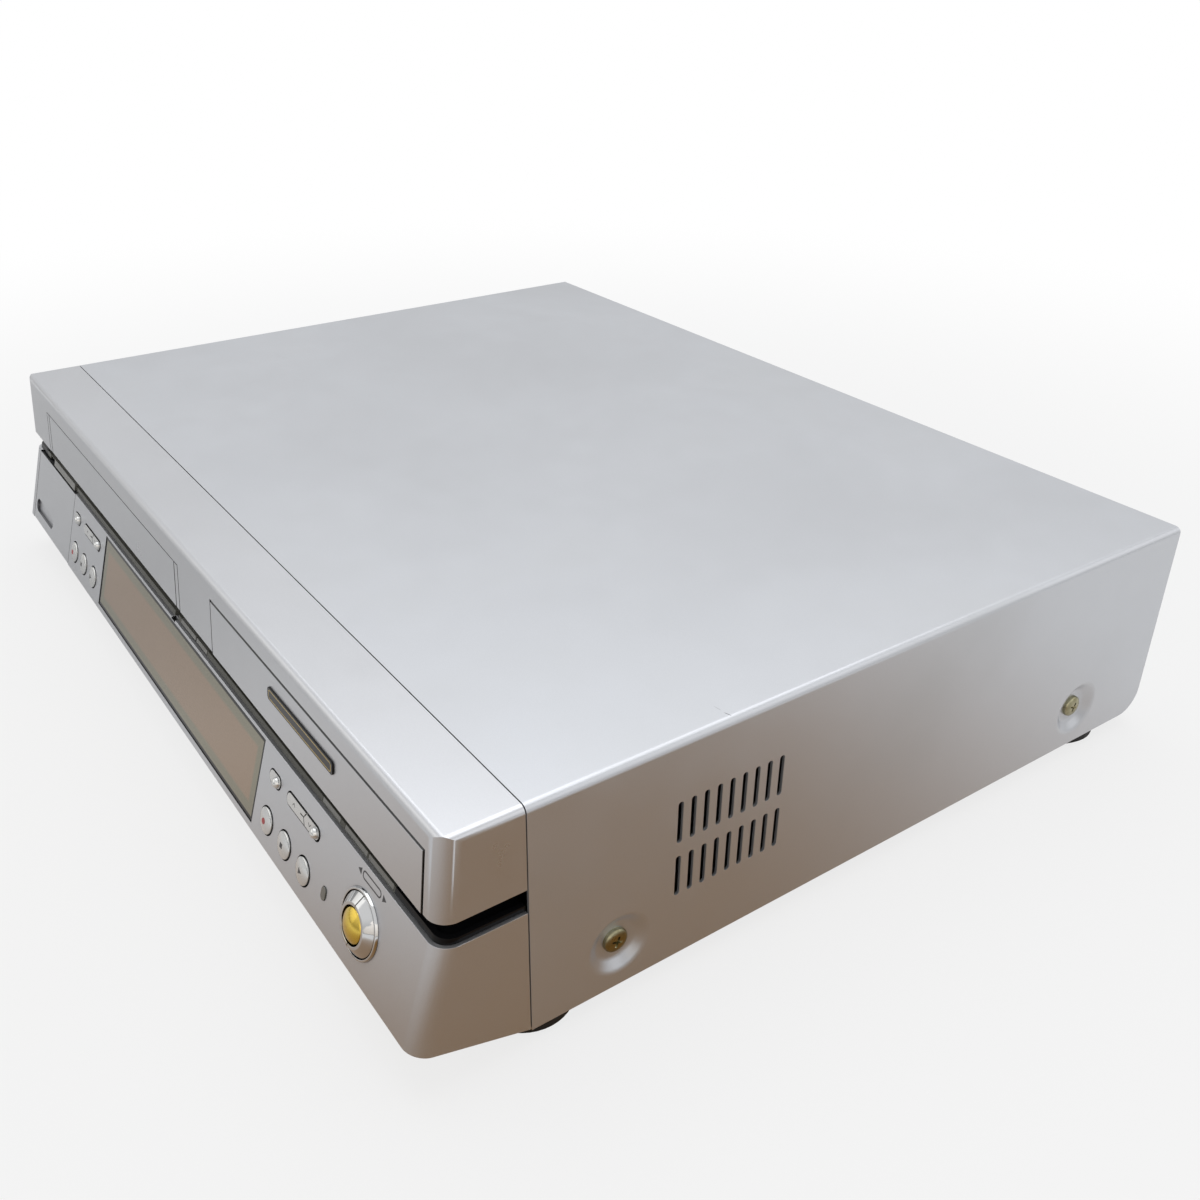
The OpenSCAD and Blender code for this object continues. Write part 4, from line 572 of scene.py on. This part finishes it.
# ---------------------------------------------------------------- cassette door
# A long spring-loaded flap in the same silver paint, with two faint upright lines near its ends.
# Its lower lip turns back into the gap and down, where it is pushed in by the cassette.
softened("cassette_door", "vhs_door", 0.25, front_paint, "vhs_door_body", beside=("vhs_door",))

# ---------------------------------------------------------------- disc tray
# The tray's silver front carries a small dark plate with a gold line round it.
# The tray itself is a black moulding with stepped recesses for two sizes of disc.


def dress(mat, *nodes):
    """Gives CAD nodes their finish."""
    for node in nodes:
        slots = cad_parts[node].data.materials
        slots.clear()
        slots.append(mat)


softened("tray_face", "tray_front", 0.25, front_paint, "tray", beside=("tray_front",))
badge_gloss = coated("badge_black", (0.008, 0.008, 0.009), (0.12, 0.2), flake=(900, 0.2),
                     peel=(300, 0.02), patch=80, specular=0.2)
softened("badge", "badge_plate", 0.12, badge_gloss, "tray")
tray_black = coated("tray_black", (0.030, 0.030, 0.032), (0.38, 0.5), flake=(900, 0.2),
                    peel=(2200, 0.5), patch=20)
dress(tray_black, "disc_tray")


def on_face(lean, y, z, x, depth, down):
    """A point so far down a face that leans from (y, z), and so far behind it, in millimetres."""
    c, s = math.cos(math.radians(lean)), math.sin(math.radians(lean))
    return x, y + depth * c - down * s, z - depth * s - down * c


def on_upper(x, depth, down):
    """A point of the upper band, which leans by 5.7 degrees."""
    return on_face(5.7, front_y, top_z, x, depth, down)


def bar(x0, y0, x1, y1, w):
    """A straight printed stroke as a four-sided outline."""
    dx, dy = x1 - x0, y1 - y0
    length = math.hypot(dx, dy)
    nx, ny = -dy / length * w / 2, dx / length * w / 2
    return [(x0 + nx, y0 + ny), (x0 - nx, y0 - ny), (x1 - nx, y1 - ny), (x1 + nx, y1 + ny)]


def arc(cx, cy, rx, ry, start, end, steps, w):
    """A curved printed stroke from one angle to another, as short straight ones."""
    angles = [math.radians(start + (end - start) * k / steps) for k in range(steps + 1)]
    rim = [(cx + rx * math.cos(a), cy + ry * math.sin(a)) for a in angles]
    return [bar(*first, *second, w) for first, second in zip(rim, rim[1:])]


def printed(name, shapes, place, mat, body):
    """Thin printed marks: convex outlines in face millimetres, fanned from their middles."""
    rise, thick = 0.015, 0.06
    verts, faces = [], []
    for shape in shapes:
        n, base = len(shape), len(verts)
        middle = (sum(x for x, y in shape) / n, sum(y for x, y in shape) / n)
        for out in (rise, rise - thick):
            verts += [place(x, y, out) for x, y in (*shape, middle)]
        for i in range(n):
            j = (i + 1) % n
            faces.append((base + i, base + j, base + n))
            faces.append((base + n + 1 + j, base + n + 1 + i, base + 2 * n + 1))
            faces.append((base + j, base + i, base + n + 1 + i, base + n + 1 + j))
    made = mesh_piece(name, verts, faces)
    tidy_mesh(made.data, 50)
    made.data.materials.append(mat)
    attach(made, body)


gold_print = coated("gold_print", (0.62, 0.46, 0.16), (0.18, 0.3), metal=1.0, flake=(900, 0.15),
                    peel=(900, 0.1), patch=100)
badge_x, badge_s, badge_r = (102.2, 149.8), (-17.9, -14.8), 0.8
fine_line = 0.28
badge_lines = [bar(badge_x[0] + badge_r, y, badge_x[1] - badge_r, y, fine_line) for y in badge_s]
badge_lines += [bar(x, badge_s[0] + badge_r, x, badge_s[1] - badge_r, fine_line) for x in badge_x]
for cx, rx in ((badge_x[0] + badge_r, -badge_r), (badge_x[1] - badge_r, badge_r)):
    for cy, ry in ((badge_s[1] - badge_r, badge_r), (badge_s[0] + badge_r, -badge_r)):
        badge_lines += arc(cx, cy, rx, ry, 0, 90, 4, fine_line)
badge_rise = 0.6
printed("badge_gold", badge_lines, lambda x, y, out: on_upper(x, -badge_rise - out, -y),
        gold_print, "tray")

# ---------------------------------------------------------------- lower silver panel
# The leaning control panel below the gap, in the same paint with thin dark printed signs.
# It holds the window, the flap on the left, two groups of keys and the round control.
panel_keys = ("left_round_1", "left_round_2", "left_round_3", "record_button", "stop_button",
              "play_button", "left_small_button", "right_small_button", "left_rocker",
              "right_rocker")
softened("lower_panel", "front_lower_panel", 0.3, front_paint,
         beside=panel_keys + ("input_flap", "display_window"))
ink = coated("dark_ink", (0.045, 0.045, 0.05), (0.35, 0.45), flake=(900, 0.2), peel=(900, 0.1),
             patch=200)


def on_lower(x, depth, down):
    """A point of the lower panel, which leans by 16.7 degrees."""
    return on_face(16.7, panel_top_y, panel_top_z, x, depth, down)


def arrow(x, y, w, side):
    """A solid triangle that points right for side 1 and left for side -1."""
    tip, foot = x + side * w / 2, x - side * w / 2
    return [(tip, y), (foot, y + w * 0.55), (foot, y - w * 0.55)]


panel_top_y, panel_top_z = front_y - 2.9944, 52.0
pill_x, pill_y, pill_r, pill_line = (172.2, 181.2), -3.4, 1.2, 0.5
arrow_x, arrow_w = (168.9, 184.7), 2.2
panel_signs = [arrow(x, pill_y, arrow_w, side) for x, side in zip(arrow_x, (-1, 1))]
panel_signs += [bar(pill_x[0], pill_y + up, pill_x[1], pill_y + up, pill_line)
                for up in (pill_r, -pill_r)]
for cx, rx in zip(pill_x, (-pill_r, pill_r)):
    panel_signs += arc(cx, pill_y, rx, pill_r, 90, -90, 8, pill_line)
printed("panel_signs", panel_signs, lambda x, y, out: on_lower(x, -out, -y), ink, "cabinet")

# ---------------------------------------------------------------- display window
# A smoked acrylic window with a half-mirror film: brown in the middle, paler near its rim,
# and a thin black printed line round the edge. The display tube behind it stays dark.
window_mat, tree, shader = blank_material("window_smoke")
axes = add_node(tree, "ShaderNodeSeparateXYZ", {"Vector": own_place(tree)}).outputs
window_top, window_foot = (on_lower(0, 0.25, s)[2] / 1000 for s in (1.35, 33.4))
from_edges = []
for axis, middle, half in (("X", 0.00325, 0.0921),
                           ("Z", (window_top + window_foot) / 2, (window_top - window_foot) / 2)):
    off = worked_out(tree, "ABSOLUTE", worked_out(tree, "SUBTRACT", axes[axis], middle))
    from_edges.append(worked_out(tree, "SUBTRACT", half, off))
from_edge = worked_out(tree, "MINIMUM", *from_edges)
film_colour = mixed(tree, ranged(tree, from_edge, 0.0042, 0.0060, smooth=True),
                    (0.27, 0.255, 0.195), (0.36, 0.27, 0.20))
feed(shader.inputs["Base Color"], mixed(tree, ranged(tree, from_edge, 0.0011, 0.0014, smooth=True),
                                        (0.01, 0.01, 0.01), film_colour))
handled(tree, 25, (0.10, 0.2))
shader.inputs["Metallic"].default_value = 0.75
film = place_group(tree, grain, Flake_Scale=300, Flake=0.02, Peel_Scale=40)
bump(tree, film["Height"], 0.05)
dress(window_mat, "display_window")
dress(coated("tube_dark_glass", (0.02, 0.03, 0.028), (0.08, 0.16), flake=(400, 0.2),
             peel=(200, 0.03)), "display_tube")

# ---------------------------------------------------------------- panel keys
# Two like groups of keys in bright silver: a small pill, a long rocker with a ridge, and three
# crowned round keys with printed signs for record, stop and play.
# Its seam values give painted shade round the keys and close to other faces
key_silver = coated("key_silver", (0.62, 0.625, 0.62), (0.14, 0.22), metal=0.85,
                    flake=(3600, 0.05), peel=(700, 0.06), patch=60, coat=0.3,
                    seam=(0.0012, 0.15))
for key in panel_keys:
    softened(key + "_cap", key, 0.2, key_silver, key + "_body")


crown_rise, crown_down = 1.3, 25.8


def crown_mark(middle):
    """Places a mark on the top of a round key's low crown, which stands above the panel."""
    return lambda x, y, out: on_lower(middle + x, -crown_rise - out, crown_down - y)


red_ink = coated("red_ink", (0.45, 0.03, 0.035), (0.3, 0.4), flake=(900, 0.15), peel=(900, 0.1),
                 patch=200)
dot_r, half = 1.15, 0.85
dot = [(dot_r * math.cos(math.radians(a)), dot_r * math.sin(math.radians(a)))
       for a in range(0, 360, 20)]
square = [(-half, -half), (half, -half), (half, half), (-half, half)]
triangle = [(-half, -1.1), (1.2, 0), (-half, 1.1)]
for key, x, shape, colour in (
        ("left_round_1", -130.8, dot, red_ink), ("record_button", 106.5, dot, red_ink),
        ("left_round_2", -115.8, square, ink), ("stop_button", 121.5, square, ink),
        ("left_round_3", -100.8, triangle, ink), ("play_button", 136.5, triangle, ink)):
    printed(key + "_sign", [shape], crown_mark(x), colour, key + "_body")

# An upward and a downward chevron at the two ends of each rocker
chevron_low, chevron_high, chevron_half = -9.9, -8.9, 0.9
rocker_rise = 0.3
for key, middle in (("left_rocker", -108.2), ("right_rocker", 130.0)):
    signs = []
    for x, ends, point in ((middle - 6.7, chevron_low, chevron_high),
                           (middle + 5.5, chevron_high, chevron_low)):
        signs.append(bar(x - chevron_half, ends, x, point, fine_line))
        signs.append(bar(x, point, x + chevron_half, ends, fine_line))
    printed(key + "_signs", signs, lambda x, y, out: on_lower(x, -rocker_rise - out, -y), ink,
            key + "_body")

# ---------------------------------------------------------------- round control
# A polished chrome ring with a gold push button in the middle. The sloping inner ring is split
# into a left and a right half, which are pressed separately.
# Its seam values give painted shade where the rings stand close to each other
chrome = coated("bright_chrome", (0.56, 0.565, 0.57), (0.03, 0.08), metal=1.0, flake=(500, 0.03),
                peel=(400, 0.03), patch=60, seam=(0.0016, 0.08))
for node, body in (("dial_bezel", "cabinet"), ("dial_left", "dial_left_body"),
                   ("dial_right", "dial_right_body")):
    softened(node + "_chrome", node, 0.15, chrome, body)
gold_cap = coated("gold_cap", (0.66, 0.47, 0.07), (0.16, 0.26), metal=0.85, flake=(2400, 0.12),
                  peel=(600, 0.06), patch=90, coat=0.3)
softened("gold_push", "dial_center", 0.3, gold_cap, "dial_center_body")

# ---------------------------------------------------------------- front input flap
# A hinged cover over the front sockets, with a shallow finger recess along its lower edge.
# Behind it a black carrier holds three phono sockets and one small round socket.
# Its seam faces take a lighter painted shade than the others
softened("flap_face", "input_flap", 0.2, front_paint, "input_flap_body", beside=("input_flap",),
         dark=0.35)
black_moulding = coated("black_moulding", (0.022, 0.022, 0.024), (0.35, 0.5), flake=(900, 0.2),
                        peel=(1800, 0.4), patch=25)
dress(black_moulding, "front_jacks")

# ---------------------------------------------------------------- rear panel
# A galvanised steel sheet with punched openings for the sockets, the fan and the mains inlet.
# Zinc crystals show as faint spangles, also on the plain pressings of the deck and the drive.


def zinc_sheet(name, colour, scale):
    """Galvanised steel; the scale is the number of its crystals in a metre."""
    mat, tree, shader = blank_material(name)
    cells = add_node(tree, "ShaderNodeTexVoronoi", {"Vector": own_place(tree), "Scale": scale})
    shades = add_node(tree, "ShaderNodeSeparateXYZ", {"Vector": cells.outputs["Color"]})
    tinted(tree, colour, ranged(tree, shades.outputs["X"], low=0.93, high=1.05))
    handled(tree, 30, (0.35, 0.5))
    shader.inputs["Metallic"].default_value = 0.9
    bump(tree, cells.outputs["Distance"], 0.05)
    return mat


dress(zinc_sheet("rear_zinc", (0.50, 0.51, 0.52), 170), "rear_panel")
dress(zinc_sheet("inner_zinc", (0.46, 0.47, 0.47), 120), "tuner_box", "deck_side_frame",
      "cassette_holder", "drive_case", "spindle_motor")
dress(black_moulding, "jack_block", "mains_inlet", "fan_frame", "fan_blades", "drive_base",
      "laser_sled", "turntable")

# ---------------------------------------------------------------- phono sockets
# Eighteen sockets in three rows on the black block: a nickel ring round a coloured insulator,
# with a collar of the same colour at its foot. Yellow is picture, white and red are sound.
nickel = coated("nickel", (0.62, 0.60, 0.56), (0.14, 0.26), metal=1.0, flake=(900, 0.1),
                peel=(900, 0.1), patch=120)
socket_x, socket_y, socket_z = -118.0, rear_y - 1, 36.0
socket_step, socket_row = (17, 0, 0), 15
facing_back = (-90, 0, 0)
ring = turned("socket_ring", [(3.45, -3), (4.15, -3), (4.15, 6.7), (3.95, 7.0), (3.62, 7.0),
                              (3.45, 6.8), (3.45, -3)], 32)
insert = turned("socket_insert", [(1.6, -9), (1.6, 5.0), (1.9, 5.4), (2.6, 5.4), (2.6, 0.5),
                                  (3.4, 0.4), (3.4, -0.2), (5.85, -0.2), (5.85, -9), (1.6, -9)],
                32)
washer = turned("socket_washer", [(4.2, 0.05), (5.85, 0.05), (5.85, 0.35), (5.6, 0.5),
                                  (4.2, 0.5), (4.2, 0.05)], 32)
rings = repeat("phono_rings", ring, nickel, (socket_x, socket_y, socket_z), socket_step, 6, 3,
               (0, 0, socket_row), facing_back)
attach(rings, "cabinet")
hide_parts("av_sockets")
for row, (label, colour) in enumerate((("red", (0.50, 0.03, 0.035)),
                                       ("white", (0.75, 0.75, 0.72)),
                                       ("yellow", (0.72, 0.50, 0.03)))):
    enamel = coated("insulator_" + label, colour, (0.25, 0.35), flake=(900, 0.05),
                    peel=(900, 0.1), patch=100)
    for piece, kind in ((insert, "insulators_"), (washer, "washers_")):
        made = repeat(kind + label, piece, enamel,
                      (socket_x, socket_y, socket_z + socket_row * row), socket_step, 6,
                      turn=facing_back)
        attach(made, "cabinet")
discard(ring, insert, washer)

# ---------------------------------------------------------------- aerial sockets
# Four threaded sockets of the tuner box stand out of the rear panel. Rolled thread ridges run
# along each, and a hexagonal nut holds it.
ridge = turned("thread_ridge", [(4.5, 0), (4.755, 0.25), (4.755, 0.35), (4.5, 0.6), (4.5, 0)], 28)


def round_points(radius, count):
    """Points spaced evenly round a circle."""
    turns = [math.radians(360 / count * i) for i in range(count)]
    return [(radius * math.cos(a), radius * math.sin(a)) for a in turns]


nut_thick = 1.8
nut_verts = [(x, y, z) for outline in (round_points(5.6, 6), round_points(4.77, 24))
             for z in (0.0, nut_thick) for x, y in outline]
nut_faces = [(i, (i + 1) % 6, 6 + (i + 1) % 6, 6 + i) for i in range(6)]
nut_faces += [(12 + (j + 1) % 24, 12 + j, 36 + j, 36 + (j + 1) % 24) for j in range(24)]
for i in range(6):
    for k in range(4):
        j = 4 * i + k
        nut_faces.append((6 + i, 36 + (j + 1) % 24, 36 + j))
        nut_faces.append((i, 12 + j, 12 + (j + 1) % 24))
    nut_faces.append((6 + i, 6 + (i + 1) % 6, 36 + (4 * i + 4) % 24))
    nut_faces.append((i, 12 + (4 * i + 4) % 24, (i + 1) % 6))
nut = mesh_piece("socket_nut", nut_verts, nut_faces)
tidy_mesh(nut.data, 30)
aerial_x, aerial_z, aerial_step = (-183, -157), 30.5, 18
thread_y, thread_pitch, nut_y = rear_y + 1.2, 0.8, rear_y - 0.95
for i in range(4):
    ridges = repeat("thread_%d" % i, ridge, nickel,
                    (aerial_x[i % 2], thread_y, aerial_z + aerial_step * (i // 2)),
                    (0, thread_pitch, 0), 8, turn=facing_back)
    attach(ridges, "cabinet")
for i, x in enumerate(aerial_x):
    nuts = repeat("socket_nuts_%d" % i, nut, nickel, (x, nut_y, aerial_z),
                  (0, 0, aerial_step), 2, turn=facing_back)
    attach(nuts, "cabinet")
discard(ridge, nut)

# ---------------------------------------------------------------- chassis and deck plates
# Zinc coated steel pressings. The rolled grain of the sheet runs front to back.
# The rods and drums of the deck and drive are ground or turned, and the gears and reels nylon.


def rolled_steel(name, colour, rough=(0.3, 0.42), stretch=(60, 1, 1), metal=0.9):
    """Metal with fine lines across the axis that the pattern is squeezed along."""
    mat, tree, shader = blank_material(name)
    squeeze = add_node(tree, "ShaderNodeMapping", {"Vector": own_place(tree), "Scale": stretch})
    lines = noise(tree, squeeze.outputs["Vector"], 40, 5)
    tinted(tree, colour, ranged(tree, lines, low=0.88, high=1.08))
    handled(tree, 20, rough)
    shader.inputs["Metallic"].default_value = metal
    bump(tree, lines, 0.08)
    return mat


dress(rolled_steel("pan_steel", (0.40, 0.41, 0.42)), "chassis_pan", "deck_chassis")
dress(rolled_steel("ground_steel", (0.68, 0.69, 0.70), (0.12, 0.22), (1, 1, 60), 1.0),
      "guide_rods")
dress(rolled_steel("machined_alloy", (0.70, 0.71, 0.72), (0.16, 0.28), (1, 1, 80), 1.0),
      "upper_drum", "lower_drum", "capstan_flywheel")
dress(coated("natural_nylon", (0.78, 0.76, 0.69), (0.35, 0.48), flake=(500, 0.06),
             peel=(1500, 0.2), patch=60),
      "tray_gear", "pulley_gear", "supply_reel", "takeup_reel")

# ---------------------------------------------------------------- circuit boards
# Laminate boards with a solder mask over fine copper tracks; the supply board is brown paper
# laminate. The transformer's core is a stack of varnished steel sheets.


def laminate(name, colour, track, scale):
    """A board whose paler lines stand for the tracks under its solder mask."""
    mat, tree, shader = blank_material(name)
    maze = add_node(tree, "ShaderNodeTexBrick", {
        "Vector": own_place(tree), "Scale": scale, "Mortar Size": 0.03, "Color1": (*colour, 1),
        "Color2": (*[0.85 * c for c in colour], 1), "Mortar": (*track, 1)})
    feed(shader.inputs["Base Color"], maze.outputs["Color"])
    handled(tree, 40, (0.3, 0.45))
    bump(tree, maze.outputs["Fac"], 0.1)
    return mat


dress(laminate("green_board", (0.03, 0.17, 0.06), (0.08, 0.30, 0.12), 220), "operation_board",
      "main_board")
dress(laminate("brown_board", (0.42, 0.28, 0.11), (0.55, 0.38, 0.16), 160), "power_board")
dress(rolled_steel("varnished_core", (0.15, 0.11, 0.08), (0.3, 0.5), (1, 1, 90), 0.3),
      "power_transformer")

# ---------------------------------------------------------------- feet
# Four short round feet of black rubber, moulded with a fine matt skin and narrower below.
# They are stuck to the underside of the chassis pan.
dress(coated("foot_rubber", (0.016, 0.016, 0.016), (0.6, 0.75), flake=(700, 0.2),
             peel=(1200, 0.5), patch=80, specular=0.3), "feet")
